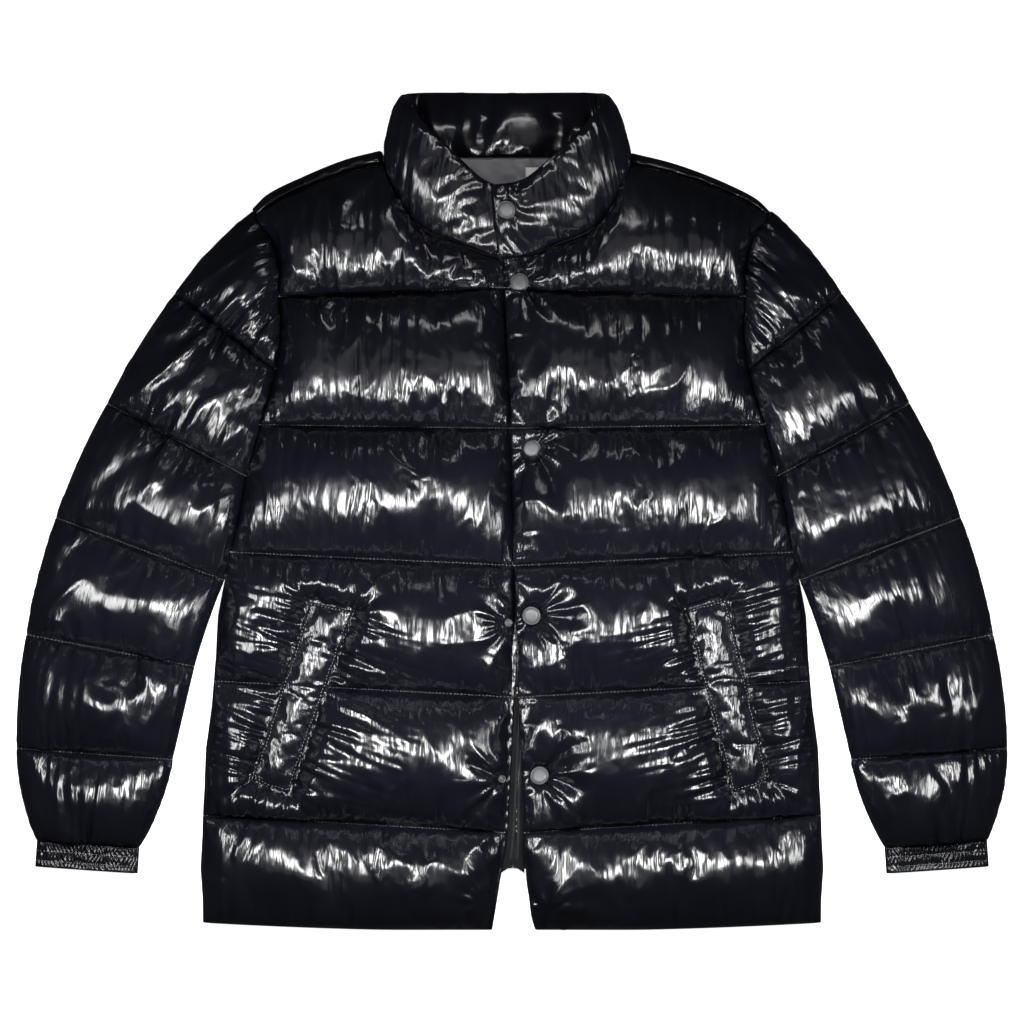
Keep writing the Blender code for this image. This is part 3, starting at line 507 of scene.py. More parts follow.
def woven_label():
    r = Recipe("woven_label", {"Sheen Weight": 0.2})
    where = r.place()
    warp, weft = (
        r.add("ShaderNodeTexWave", {"bands_direction": axis}, {"Vector": where, "Scale": 520.0})["Fac"]
        for axis in "XY"
    )
    weave = warp * weft
    return r.finish({
        "Base Color": r.blend(weave, (0.74, 0.74, 0.75), (0.92, 0.92, 0.92)),
        "Roughness": 0.6 + 0.1 * weave,
        "Normal": r.relief(weave, 0.0001, 0.5),
    })


# %% Gunmetal and zip teeth
def gunmetal():
    r = Recipe("snap_metal", {"Metallic": 0.35})
    where = r.place()
    blast = r.noise(where, 2600, 2.0)
    rub = r.noise(where, 130, 2.0)
    return r.finish({
        "Base Color": r.blend(rub, (0.048, 0.049, 0.052), (0.078, 0.079, 0.083)),
        "Roughness": 0.42 + 0.16 * blast,
        "Normal": r.relief(blast, 0.00003, 0.5),
    })


def moulded_teeth():
    r = Recipe("zip_teeth", {"Specular IOR Level": 0.5})
    where = r.place()
    rub = r.noise(where, 700, 1.0)
    return r.finish({
        "Base Color": r.blend(rub, (0.012, 0.012, 0.014), (0.035, 0.036, 0.040)),
        "Roughness": 0.32 + 0.16 * rub,
    })


FINISHES = {
    "gloss_shell": coated_nylon(), "elastic_cuff": shirred_nylon(), "satin_lining": satin(),
    "sewing_thread": twisted_thread(), "zip_tape": woven_tape(), "woven_label": woven_label(),
    "snap_metal": gunmetal(), "zip_teeth": moulded_teeth(),
}
print("finishes:", ", ".join(FINISHES))

# %% [markdown]
# ## The fronts
# A front is six baffles between stitched lines. The stitching holds the cloth close to the lining,
# and the down lifts it in between, so the starting shape is an arch from line to line. It is pulled
# down round the pocket welt and round each snap. The cloth simulation then adds what a rule can't:
# more cloth than there is room for, which has to buckle.

# %% How high the jacket is under a front
HEM_RISE, HEM_ARCH_HALF = 0.048, 0.240
HEM_DROP_START, HEM_DROP_RUN = 0.026, 0.030


def back_hem_y(x):
    rise = HEM_RISE * math.cos(math.pi / 2 * clamp(abs(x) / HEM_ARCH_HALF)) ** 2
    return QUILT_LINES[0].side_y + rise


def front_base(x, y):
    past = back_hem_y(x) - HEM_DROP_START - y
    return BACK_TOP * (1 - smooth(past / HEM_DROP_RUN)) + GAP


# %% Where stitching and snaps pull a front down
WELT_BED, WELT_MARGIN, WELT_PUCKER, WELT_BED_EDGE = 0.0115, 0.002, 0.018, 0.007
SNAP_BED, SNAP_MARGIN, SNAP_PUCKER, SNAP_DISH = 0.008, 0.007, 0.040, 0.7


def from_welt(x, y, sign):
    """Distance outside the welt of this front, and where the folds beside it start."""
    return beside(x, y, next(welt_corners(w) for w in WELTS if w.sign == sign))


def around(x, y, centre_x, centre_y):
    """Distance from a centre, and the point of a small ring round it on the same ray."""
    away = math.hypot(x - centre_x, y - centre_y)
    return (away, *on_ring(x, y, centre_x, centre_y, away))


def from_snap(x, y, sign):
    """Distance from the nearest snap of this front, and where the folds round it start."""
    return min(around(x, y, snap.x, snap.y) for snap in (SNAPS if sign > 0 else STUDS))


def pulled_down(height, x, y, sign):
    outside = from_welt(x, y, sign)[0]
    bed = mix(WELT_BED, min(WELT_BED, height), smooth(outside / WELT_BED_EDGE))
    height = mix(bed, height, smooth((outside - WELT_MARGIN) / WELT_PUCKER))
    if sign > 0:
        away = (from_snap(x, y, sign)[0] - SNAP_MARGIN) / SNAP_PUCKER
        height = mix(min(SNAP_BED, height), height, clamp(away) ** SNAP_DISH)
    return height


# %% Sharp folds
PLEAT_SCALE, PLEAT_NEAR, PLEAT_FAR, PLEAT_REACH = 85.0, 0.0016, 0.0006, 0.020
PLEAT_UPPER, PLEAT_TWIST, PLEAT_START = 0.0010, 14.0, 0.003
RAY_REACH, RAY_START, RAY_SCALE = 0.032, 0.010, 135.0
SNAP_RAY, WELT_RAY, HEM_RAY = 0.0048, 0.0036, 0.0032
SNAP_HELD, HEM_HELD, WELT_CALM, SNAP_CALM = 0.006, 0.004, 0.030, 0.045
CREASE_SCALE, CREASE_HEIGHT, CREASE_STRETCH = 26.0, 0.0021, 0.6
CREASE_WARP, CREASE_WARP_SCALE = 0.016, 40.0
RIDGE_FALL = 2.6
LOW_SEED, HIGH_SEED, CREASE_SEED, WELT_SEED, SNAP_SEED, HEM_SEED = 70, 71, 60.0, 90, 95, 98


def ridge(x, y, seed, scale):
    """Noise with sharp ridges between round valleys, from 1 down to about -0.6."""
    return 1 - RIDGE_FALL * abs(ripple(x, y, seed, scale))


def patchy(x, y, seed, scale, middle, swing):
    """A share from 0 to 1 that lets folds come and go."""
    return clamp(middle + swing * ripple(x, y, seed, scale))


def pleat(x, y, away, seed, near=PLEAT_NEAR, far=0.0):
    """Height of the folds that run away from a seam. They start at (x, y) and turn as they go."""
    height = near * math.exp(-away / PLEAT_REACH)
    if far:
        height += far * patchy(x, away, seed + 0.25, 12.0, 0.5, 1.6)
    start = min(1, away / PLEAT_START)
    return height * start * ridge(x, y, seed + PLEAT_TWIST * away, PLEAT_SCALE)


def ray(x, y, away, seed, height):
    """Height of the folds that a snap or the end of a welt sends out into the padding."""
    height *= math.exp(-away / RAY_REACH) * smooth(away / RAY_START)
    return height * ridge(x, y, seed + PLEAT_TWIST * away, RAY_SCALE)


def crease(x, y, seed):
    """Height of the longer creases in the middle of a baffle, here and there."""
    bent = x + CREASE_WARP * ripple(x, y, seed + 0.3, CREASE_WARP_SCALE)
    height = CREASE_HEIGHT * patchy(x, y, seed + 0.6, 11.0, 0.4, 1.8)
    return height * ridge(bent, y * CREASE_STRETCH, seed, CREASE_SCALE)


def line_seed(seed, y, sign):
    """A seed of its own for each quilting line of each front."""
    return seed + round(y * 90) + sign


def front_folds(x, y, low_y, high_y, sign):
    """The folds at a point of a front: from both quilting lines, the welt and the snaps."""
    (welt, *welt_start), (snap, *snap_start) = from_welt(x, y, sign), from_snap(x, y, sign)
    folds = pleat(x, 0, y - low_y, line_seed(LOW_SEED, low_y, sign), far=PLEAT_FAR)
    upper = pleat(x, 0, high_y - y, line_seed(HIGH_SEED, high_y, sign), PLEAT_UPPER)
    folds += upper + crease(x, y, CREASE_SEED + sign)
    folds *= smooth(welt / WELT_CALM) * smooth(snap / SNAP_CALM)
    folds += ray(*welt_start, welt, WELT_SEED + sign, WELT_RAY)
    folds += ray(*snap_start, max(0.0, snap - SNAP_HELD), SNAP_SEED, SNAP_RAY)
    away, *start = around(x, y, *HEM_PRESS[sign])
    return folds + ray(*start, max(0.0, away - HEM_HELD), HEM_SEED + sign, HEM_RAY)


# %% The rule of a front, point by point
EDGE_SHARE, EDGE_ROLL, SIDE_ROLL, NECK_EASE = 0.38, 0.030, 0.030, 0.06
FULL_BAFFLE, LOW_BAFFLE_POWER = 0.085, 0.7
CROWN, LUMPS, LUMP_SLANT, LUMP_STRETCH = 0.78, 0.24, 0.5, 0.6
LUMP_SEED, LUMP_SCALE = 60.0, 17.0
TUCK_RIGHT, TUCK_LEFT = 0.002, 0.001
FOLD_START = 0.04
HEM_SWEEP, HEM_FLARE, HEM_FLARE_WIDTH = 2.0, 2.2, 0.35
LAP_WALL, LAP_RAISE, LAP_WIDTH, LAP_CRUMPLE = 0.0032, 0.0042, 0.014, 0.0008


def roll_start(line):
    return min(line.right_edge - TUCK_RIGHT, line.left_edge - TUCK_LEFT)


def front_row(line, column, sign):
    start = line.left_edge if sign > 0 else roll_start(line)
    drop = column**HEM_SWEEP if line.name == "hem" else column
    return mix(start, sign * side_x(line.side_y), column), mix(line.centre_y, line.side_y, drop)


def front_top(column, sign, start_x):
    ease = corner_ease(column, sign)
    if column <= NECK_CORNER:
        x, y = along(FRONT_NECK, column / NECK_CORNER)
        return mix(start_x, sign * x + neck_shift(x) + ease, smooth(column / NECK_EASE)), y
    x, y = along(FRONT_SHOULDER, (column - NECK_CORNER) / (1 - NECK_CORNER))
    return sign * x + neck_shift(x) + ease, y


def away_from_lines(phase):
    """0 on a quilting line, and 1 a little way from it."""
    return smooth(min(phase, 1 - phase) / FOLD_START)


def front_point(sign, band, phase, column):
    """(x, y, underside, top, folds) of a front at a phase of a baffle and a share of its width."""
    line = QUILT_LINES[band]
    low = front_row(line, column, sign)
    above = QUILT_LINES[min(band + 1, YOKE)]
    high = front_row(above, column, sign)
    if band == YOKE:
        high = front_top(column, sign, front_row(line, 0.0, sign)[0])
    flare = phase
    if band == 0 and sign > 0:
        flare = mix(1 - (1 - phase) ** HEM_FLARE, phase, smooth(column / HEM_FLARE_WIDTH))
    x, y = mix(low[0], high[0], flare), mix(low[1], high[1], phase)
    tip_y = FRONT_SHOULDER[-1].y if band == YOKE else above.side_y
    straight = mix(side_x(line.side_y), side_x(tip_y), phase)
    x += sign * (side_x(mix(line.side_y, tip_y, phase)) - straight) * column**2

    width = abs(high[0] - front_row(line, 0.0, sign)[0]) if band == YOKE else side_x(y)
    from_edge = column * abs(side_x(y))
    across = mix(EDGE_SHARE if sign > 0 else 0.0, 1.0, quarter(from_edge / EDGE_ROLL))
    across *= quarter((1 - column) * width / SIDE_ROLL)
    loft = line.loft * min(1.0, (high[1] - low[1]) / FULL_BAFFLE) ** LOW_BAFFLE_POWER
    lumps = ripple(x + LUMP_SLANT * y, LUMP_STRETCH * y, LUMP_SEED, LUMP_SCALE)
    loft *= (CROWN + (1 - CROWN) * math.sin(math.pi * column)) * (1 + LUMPS * lumps)
    height = pulled_down(SEAM_WALL + loft * pillow(phase) * across, x, y, sign)
    folds = front_folds(x, y, low[1], high[1], sign) * across * away_from_lines(phase)
    height += folds
    raised = 0.0
    if sign > 0:
        lap = mix(line.lap, above.lap, phase)
        raised = LAP_RAISE * lap * (1 - smooth((from_edge - LAP_WIDTH) / LAP_WIDTH))
    base = front_base(x, y)
    return x, y, base + raised, base + height + raised * (1 - arch(phase)), folds


print("left front, middle of the waist baffle:", np.round(front_point(1, 3, 0.5, 0.5), 4))

# %% [markdown]
# ### From a rule to a piece of cloth
# A piece of cloth is a grid of points about 2 mm apart, with a few facts for each: where it starts,
# whether it is stitched down, how much spare cloth there is, how near a seam it is, where it lies on
# the flat pattern, and how far its sharp fold lifts it. Spare cloth sits beside the stitching,
# because a machine gathers a loose shell a little on each line.

# %% The grid of a front
Cloth = namedtuple("Cloth", "grid under pinned spare seam flat folds ring")
FRONT_STEPS = (44, 58, 58, 58, 60, 50)
FRONT_COLUMNS = 130
SPARE_REACH, SEAM_REACH = 0.22, 0.30
WELT_SEWN, SNAP_SEWN = 0.001, {1: 0.0065, -1: 0.005}
WELT_SPARE, SNAP_SPARE, WELT_SHADE, SNAP_SHADE = 0.026, 0.032, 0.022, 0.03
WAVE, WAVE_SCALE, WAVE_COLUMNS = 0.0011, 4.0, 18
UNDERLAP_STEPS, UNDERLAP_SEED, UNDERLAP_SCALE = 4, 33.0, 120.0


def band_rows(steps):
    """(band, phase) of each row of a panel, from the number of its steps in each band."""
    return [(band, i / count) for band, count in enumerate(steps) for i in range(count)]


def front_cloth(sign):
    rows = band_rows(FRONT_STEPS) + [(YOKE, 1.0)]
    columns = [i / FRONT_COLUMNS for i in range(FRONT_COLUMNS + 1)]
    points = np.array([[front_point(sign, *row, column) for column in columns] for row in rows])
    pinned, spare = np.zeros(points.shape[:2], bool), np.zeros(points.shape[:2])
    seam = np.zeros(points.shape[:2])
    for r, (band, phase) in enumerate(rows):
        near = min(phase, 1 - phase)
        for c, (x, y) in enumerate(points[r, :, :2]):
            welt, snap = from_welt(x, y, sign)[0], from_snap(x, y, sign)[0]
            pinned[r, c] = near == 0 or welt < WELT_SEWN or snap < SNAP_SEWN[sign]
            spare[r, c] = max(1 - near / SPARE_REACH, 1 - welt / WELT_SPARE, 1 - snap / SNAP_SPARE, 0)
            seam[r, c] = max(1 - near / SEAM_REACH, 1 - welt / WELT_SHADE, 1 - snap / SNAP_SHADE, 0)
        edge = ripple(0, band + phase, 5.0 + sign, WAVE_SCALE) * WAVE
        points[r, :WAVE_COLUMNS, 0] += edge * sign * (1 - np.linspace(0, 1, WAVE_COLUMNS)) ** 2
    pinned[:, 0] = pinned[:, -1] = True
    flat = points[:, :, :2].copy()
    grid, under, folds = points[:, :, [0, 1, 3]], points[:, :, [0, 1, 2]], points[:, :, 4]
    front = Cloth(grid, under, pinned, spare, seam, flat, folds, False)
    return with_underlap(rows, front) if sign < 0 else front


def with_underlap(rows, front):
    """Adds the thin, slightly crumpled strip of the right front that lies under the left one."""
    front.grid[:, 0, 2] = front.under[:, 0, 2] + LAP_WALL
    lap_under = []
    for r, (band, phase) in enumerate(rows):
        edge = mix(QUILT_LINES[band].right_edge, QUILT_LINES[min(band + 1, YOKE)].right_edge, phase)
        x0, y, floor = front.under[r, 0]
        shares = [i / UNDERLAP_STEPS for i in range(UNDERLAP_STEPS)]
        lap_under.append([(mix(edge, x0, share), y, floor) for share in shares])
    lap_under = np.array(lap_under)
    lap = lap_under + (0, 0, LAP_WALL)
    lap[:, :, 2] += [
        [LAP_CRUMPLE * ridge(x, y, UNDERLAP_SEED, UNDERLAP_SCALE) for x, y, _ in row] for row in lap
    ]
    none = np.zeros(lap.shape[:2])
    added = (lap, lap_under, none == 0, none, none, lap[:, :, :2], none)
    return Cloth(*(np.hstack(both) for both in zip(added, front[:-1])), False)


pieces = {"front_right": front_cloth(-1), "front_left": front_cloth(1)}
print("fronts:", {name: cloth.grid.shape[:2] for name, cloth in pieces.items()})

# %% [markdown]
# ## The sleeves
# A sleeve is a tube. Pressed between its two folds it becomes a flat path with an arch above and a
# flatter side below, which rests on the floor. So each ring of the grid runs over the top from the
# outer fold to the inner one and back underneath. Only the top half is left free to buckle.

# %% The rings of a sleeve
SEAM_OFFSET = 0.0001
SEAM_RISE, SEAM_FALL = 0.006, 0.011
SLEEVE_STEPS = (42, 48, 52, 52, 50, 42)
SLEEVE_OVER, SLEEVE_UNDER = 96, 24
SLEEVE_LOFT, SLEEVE_LUMP_SCALE = 0.86, 15.0
OVER_ROUND, UNDER_ROUND, UNDER_DEPTH, UNDER_RUN, FLOOR_MARGIN = 0.75, 0.6, 1.3, 0.6, 0.002
SLEEVE_FLAT_WIDTH, SLEEVE_PLEAT, SLEEVE_PLEAT_FAR, SLEEVE_CREASE = 0.15, 0.0020, 0.0010, 1.6
SLEEVE_LUMP_SEED, SLEEVE_HIGH_SEED, SLEEVE_LOW_SEED, SLEEVE_CREASE_SEED = 61.0, 110, 111, 64.0


def sleeve_line_point(index, share, sign):
    line = SLEEVE_LINES[index]
    spread = SLEEVE_SPREAD[sign] * SLEEVE_SPREAD_LINES[index] * (1 - share)
    x, y = mix(line.outer_x, line.inner_x, share), mix(line.outer_y, line.inner_y, share)
    if index == 0:
        x = side_x(y) + SEAM_OFFSET
    return x + spread, y


def sleeve_ring(band, phase, sign):
    line, below = SLEEVE_LINES[band], SLEEVE_LINES[band + 1]
    outer, inner = (Vector(sleeve_line_point(band, end, sign)) for end in (0, 1))
    across = (outer - inner).normalized()
    middle, puff = mix(line.middle, below.middle, phase), arch(phase)
    top = SEAM_RISE + line.loft * SLEEVE_LOFT * pillow(phase)
    depth = mix(min(SEAM_FALL, middle - FLOOR_MARGIN), middle * UNDER_DEPTH, clamp(puff / UNDER_RUN))
    angles = [math.pi * i / SLEEVE_OVER for i in range(SLEEVE_OVER)]
    angles += [math.pi * (1 + i / SLEEVE_UNDER) for i in range(SLEEVE_UNDER)]
    ring = []
    for angle in angles:
        share, swing, folds = (1 - math.cos(angle)) / 2, math.sin(angle), 0.0
        low, high = (sleeve_line_point(band + k, share, sign) for k in (1, 0))
        push = puff * mix(line.bulge, -line.inner_bulge, share)
        x, y = (mix(high[k], low[k], phase) + across[k] * push for k in (0, 1))
        lumps = 1 + LUMPS * puff * ripple(x, y, SLEEVE_LUMP_SEED + sign, SLEEVE_LUMP_SCALE)
        rise = top * lumps * swing**OVER_ROUND if swing >= 0 else -depth * (-swing) ** UNDER_ROUND
        if swing > 0:
            place, length = SLEEVE_FLAT_WIDTH * share, math.dist(low, high)
            seed = SLEEVE_HIGH_SEED + band + sign
            folds = pleat(place, 0, phase * length, seed, SLEEVE_PLEAT, SLEEVE_PLEAT_FAR)
            seed = SLEEVE_LOW_SEED + band + sign
            folds += pleat(place, 0, (1 - phase) * length, seed, SLEEVE_PLEAT)
            folds += SLEEVE_CREASE * crease(place, -y, SLEEVE_CREASE_SEED + sign)
            folds *= swing * away_from_lines(phase)
        z = max(0.0, middle + rise + folds)
        ring.append((sign * max(x, side_x(y) + SEAM_OFFSET), y, z, folds))
    return ring


def sleeve_cloth(sign):
    rows = band_rows(SLEEVE_STEPS) + [(len(SLEEVE_STEPS) - 1, 1.0)]
    points = np.array([sleeve_ring(band, phase, sign) for band, phase in rows])
    grid, folds = points[:, :, :3], points[:, :, 3]
    near = np.array([min(phase, 1 - phase) for _, phase in rows])[:, None]
    over = np.arange(grid.shape[1])[None, :] < SLEEVE_OVER
    fold = np.arange(grid.shape[1])[None, :] % SLEEVE_OVER == 0
    pinned = (near == 0) | ~over | (fold & over)
    spare = np.clip(1 - near / SPARE_REACH, 0, 1) * over
    seam = np.clip(1 - near / SEAM_REACH, 0, 1) * np.ones(grid.shape[1])
    return Cloth(grid, None, pinned, spare, seam, unrolled(grid), folds, True)


def unrolled(grid):
    """Where the points of a tube lie when it is cut open: round it, then down it."""
    round_it = np.linalg.norm(np.diff(grid, axis=1), axis=2).cumsum(axis=1)
    down_it = np.linalg.norm(np.diff(grid.mean(axis=1), axis=0), axis=1).cumsum()
    flat = np.zeros((*grid.shape[:2], 2))
    flat[:, 1:, 0] = round_it
    flat[1:, :, 1] = down_it[:, None]
    return flat


pieces["sleeve_right"], pieces["sleeve_left"] = sleeve_cloth(-1), sleeve_cloth(1)
print("sleeves:", pieces["sleeve_left"].grid.shape[:2])

# %% [markdown]
# ## The collar
# The collar is a padded band that stands up from the neckline and falls back flat. Its sections are
# slim rings: over the outer face from the neck seam to the fold, and down the inner face. Behind the
# neck we look at the inner face, which is crowded because it is the inside of a bend, so it gets the
# most spare cloth.

# %% The sections of the collar
COLLAR_RING, COLLAR_STEP, COLLAR_GLANCE = 72, 18, 0.2
BACK_STATIONS = (4.7, 9.3)
INNER_THIN, COLLAR_SLIM = 0.85, 0.9
INNER_FOLD, INNER_FOLD_STRETCH, INNER_FOLD_SEED, INNER_FOLD_SCALE = 0.0042, 0.25, 31.0, 2.8
COLLAR_FLAT_STEP, COLLAR_FLAT_HEIGHT = 0.035, 0.075
COLLAR_PLEAT_LOW, COLLAR_PLEAT_FAR, COLLAR_PLEAT_HIGH = 0.0010, 0.0002, 0.0012
COLLAR_LOW_SEED, COLLAR_HIGH_SEED, COLLAR_RAY_SEED = 120.0, 121.0, 97.0


def collar_stations():
    mirrored = [
        s._replace(bx=-s.bx, tx=-s.tx) for s in reversed(COLLAR_OVER_END + COLLAR_HALF)
    ]
    return [*COLLAR_UNDER_END, *COLLAR_HALF, COLLAR_BACK, *mirrored]


def collar_edges(at):
    stations = collar_stations()
    read = [
        curve_at(list(range(len(stations))), [station[k] for station in stations], at)
        for k in range(7)
    ]
    low = Vector((read[0] + NECK_X, read[1], read[2]))
    high = Vector((read[3] + NECK_X + COLLAR_LEAN, read[4], read[5]))
    return low, high, read[6]


def behind(at):
    """1 behind the neck, fading to 0 at the sides."""
    return clamp((at - BACK_STATIONS[0]) * 2) * clamp((BACK_STATIONS[1] - at) * 2)


def collar_section(at, last):
    low, high, padding = collar_edges(at)
    before = collar_edges(max(0, at - COLLAR_GLANCE))
    after = collar_edges(min(last, at + COLLAR_GLANCE))
    tangent = (after[0] + after[1]) - (before[0] + before[1])
    outward = (high - low).cross(tangent).normalized()
    ring = []
    for i in range(COLLAR_RING):
        angle = 2 * math.pi * i / COLLAR_RING
        swing = math.sin(angle)
        share = (1 - math.cos(angle)) / 2
        face = 1.0 if swing > 0 else INNER_THIN
        thick = COLLAR_HALF_THICKNESS * padding * swing * face * COLLAR_SLIM
        if swing < 0:
            crowded = ridge(at, share * INNER_FOLD_STRETCH, INNER_FOLD_SEED, INNER_FOLD_SCALE)
            folds = INNER_FOLD * behind(at) * -swing * crowded
        else:
            place, height = at * COLLAR_FLAT_STEP, COLLAR_FLAT_HEIGHT
            folds = pleat(place, 0, share * height, COLLAR_LOW_SEED, COLLAR_PLEAT_LOW, COLLAR_PLEAT_FAR)
            folds += pleat(place, 0, (1 - share) * height, COLLAR_HIGH_SEED, COLLAR_PLEAT_HIGH)
            folds *= swing
        thick += folds * math.copysign(1, swing)
        point = low.lerp(high, share) + outward * thick
        ring.append((point.x, point.y, max(0.0, point.z), folds))
    return ring


# %% The grid of the collar
COLLAR_SEWN, COLLAR_FOLD, COLLAR_SNAP_SEWN = 0.02, 0.99, 0.0068
COLLAR_SPARE, COLLAR_LEAST_SPARE, COLLAR_SNAP_REACH = 0.30, 0.12, 0.034
COLLAR_MAP = (0.04, 0.07)


def collar_ray(x, y):
    away, *start = around(x, y, COLLAR_SNAP.x, COLLAR_SNAP.y)
    return ray(*start, max(0.0, away - SNAP_MARGIN), COLLAR_RAY_SEED, SNAP_RAY)


def collar_cloth():
    last = len(collar_stations()) - 1
    steps = COLLAR_STEP * last
    places = [last * i / steps for i in range(steps + 1)]
    points = np.array([collar_section(at, last) for at in places])
    grid, folds = points[:, :, :3], points[:, :, 3]
    angle = 2 * np.pi * np.arange(COLLAR_RING) / COLLAR_RING
    share = (1 - np.cos(angle)) / 2
    snap = np.hypot(grid[:, :, 0] - COLLAR_SNAP.x, grid[:, :, 1] - COLLAR_SNAP.y)
    outer = (angle < np.pi)[None, :] & (np.array(places) > last / 2)[:, None]
    snap = np.where(outer, snap, 1.0)
    share_row, places_column = share[None, :], np.array(places)[:, None]
    pinned = (share_row < COLLAR_SEWN) | (share_row > COLLAR_FOLD) | (snap < COLLAR_SNAP_SEWN)
    pinned[:2] = pinned[-2:] = True
    inside_neck = np.array([behind(at) for at in places])
    spare = np.maximum(1 - share_row / COLLAR_SPARE, 1 - snap / COLLAR_SNAP_REACH)
    spare = np.maximum(spare, inside_neck[:, None] * (angle > np.pi)[None, :])
    spare = np.clip(np.maximum(spare, COLLAR_LEAST_SPARE), 0, 1)
    flat = (places_column * COLLAR_MAP[0], COLLAR_MAP[1] * share_row)
    flat = np.stack(np.broadcast_arrays(*flat), axis=-1)
    folds += outer * np.array([[collar_ray(x, y) for x, y, _ in row] for row in grid])
    seam = np.clip(np.maximum(1 - share_row / SEAM_REACH, 1 - snap / COLLAR_SNAP_REACH), 0, 1)
    return Cloth(grid, None, pinned, spare, seam, flat, folds, True)


pieces["collar"] = collar_cloth()
print("collar:", pieces["collar"].grid.shape[:2])

# %% [markdown]
# ## The pocket welts
# A welt is a folded strip with a little padding, sewn on over the quilting so that the hand slides in
# behind it. It lies in the bed that its own stitching makes in the front.

# %% The grid of a welt
WELT_ALONG, WELT_ACROSS = 96, 22
WELT_LIFT, WELT_RIM, WELT_LOFT, WELT_END_ROLL = 0.0006, 0.0022, 0.0065, 0.10
WELT_FULLNESS, WELT_SEAM, WELT_CREASE, WELT_CREASE_SCALE, WELT_CREASE_SEED = 0.45, 0.7, 0.6, 1.6, 99.0


def welt_cloth(welt):
    grid, under = [], []
    for j in range(WELT_ALONG + 1):
        down = j / WELT_ALONG
        outer = Vector(welt.outer_top).lerp(Vector(welt.outer_bottom), down)
        inner = Vector(welt.inner_top).lerp(Vector(welt.inner_bottom), down)
        row, row_under = [], []
        for i in range(WELT_ACROSS + 1):
            flat = outer.lerp(inner, i / WELT_ACROSS)
            x, y = welt.sign * flat.x, flat.y
            seat = front_base(x, y) + WELT_BED + WELT_LIFT
            crown = arch(i / WELT_ACROSS) * quarter(min(down, 1 - down) / WELT_END_ROLL)
            row.append((x, y, seat + WELT_RIM + WELT_LOFT * crown))
            row_under.append((x, y, seat))
        grid.append(row)
        under.append(row_under)
    grid, under = np.array(grid), np.array(under)
    pinned = np.zeros(grid.shape[:2], bool)
    pinned[[0, -1]] = True
    pinned[:, [0, -1]] = True
    spare = np.full(grid.shape[:2], WELT_FULLNESS)
    scaled = grid[:, :, :2] * WELT_CREASE_SCALE
    folds = np.array([[WELT_CREASE * crease(x, y, WELT_CREASE_SEED) for x, y in row] for row in scaled])
    folds *= ~pinned
    return Cloth(grid, under, pinned, spare, spare * WELT_SEAM, grid[:, :, :2].copy(), folds, False)


for welt in WELTS:
    pieces[f"pocket_welt_{welt.name}"] = welt_cloth(welt)
print("pieces of cloth:", ", ".join(pieces))

# %% [markdown]
# ## Blowing the cloth up
# All the pieces are simulated in the same few frames. Each one is an object with a Cloth modifier:
# the stitched points are pinned, the spare cloth is a negative shrink, which makes the rest lengths
# longer than the grid, and a light pressure stands for the down. There is no gravity and no
# collision: a short run only lets the surface find its folds. A point may travel a centimetre at
# most, and the simulated object is thrown away once its points have been read.


# %% Grid faces that look outwards
def grid_faces(shape, ring):
    rows, columns = shape
    r, c = np.meshgrid(np.arange(rows - 1), np.arange(columns if ring else columns - 1), indexing="ij")
    right = (c + 1) % columns
    corners = (r * columns + c, r * columns + right, (r + 1) * columns + right, (r + 1) * columns + c)
    return np.stack(corners, axis=-1).reshape(-1, 4)


def corners_of(grid, faces):
    """The four corner points of each face, as four arrays."""
    points = grid.reshape(-1, 3)
    return (points[faces[:, k]] for k in range(4))


def outward_faces(grid, ring):
    """The faces of a grid, turned so that they look up, or out of a ring."""
    faces = grid_faces(grid.shape[:2], ring)
    a, b, c, d = corners_of(grid, faces)
    normals = np.cross(c - a, d - b)
    if ring:
        centres = grid.mean(axis=1)
        middle = centres[faces[:, 0] // grid.shape[1]]
        facing = ((a + c) / 2 - middle) * normals
    else:
        facing = normals[:, 2]
    return faces if facing.sum() > 0 else faces[:, ::-1]


# %% A cloth object
FRAMES = 16
START_RIPPLE, RIPPLE_DEPTH = 0.0008, 40
SPARE_LEVELS = 20


def start_ripple(x, y, z):
    """A fine unevenness, so that the cloth has somewhere to start buckling."""
    deep = RIPPLE_DEPTH * z
    return ripple(x, y, 3.1 + deep) + 0.5 * ripple(x, y, 4.7 + deep, 95.0)


def linked(name, data):
    """A new object with this data, in the scene."""
    made = bpy.data.objects.new(name, data)
    bpy.context.collection.objects.link(made)
    return made


def read_vectors(mesh, field):
    values = np.empty(len(mesh.vertices) * 3, np.float32)
    mesh.vertices.foreach_get(field, values)
    return values.reshape(-1, 3)


def cloth_object(name, cloth):
    faces = outward_faces(cloth.grid, cloth.ring)
    mesh = bpy.data.meshes.new(f"{name} cloth")
    mesh.from_pydata(cloth.grid.reshape(-1, 3).tolist(), [], faces.tolist())
    mesh.update()
    normals = read_vectors(mesh, "normal")
    start = cloth.grid.reshape(-1, 3).copy()
    ripples = np.array([start_ripple(*point) for point in start]) * START_RIPPLE
    start += normals * (ripples * ~cloth.pinned.reshape(-1))[:, None]
    mesh.vertices.foreach_set("co", start.reshape(-1).astype(np.float32))
    piece = linked(f"{name} cloth", mesh)
    stitched = piece.vertex_groups.new(name="stitched")
    stitched.add([int(i) for i in np.flatnonzero(cloth.pinned)], 1.0, "REPLACE")
    spare = piece.vertex_groups.new(name="spare")
    levels = np.round(cloth.spare.reshape(-1) * SPARE_LEVELS).astype(int)
    for level in range(SPARE_LEVELS + 1):
        where = [int(i) for i in np.flatnonzero(levels == level)]
        spare.add(where, level / SPARE_LEVELS, "REPLACE")
    drape(piece)
    return piece, start


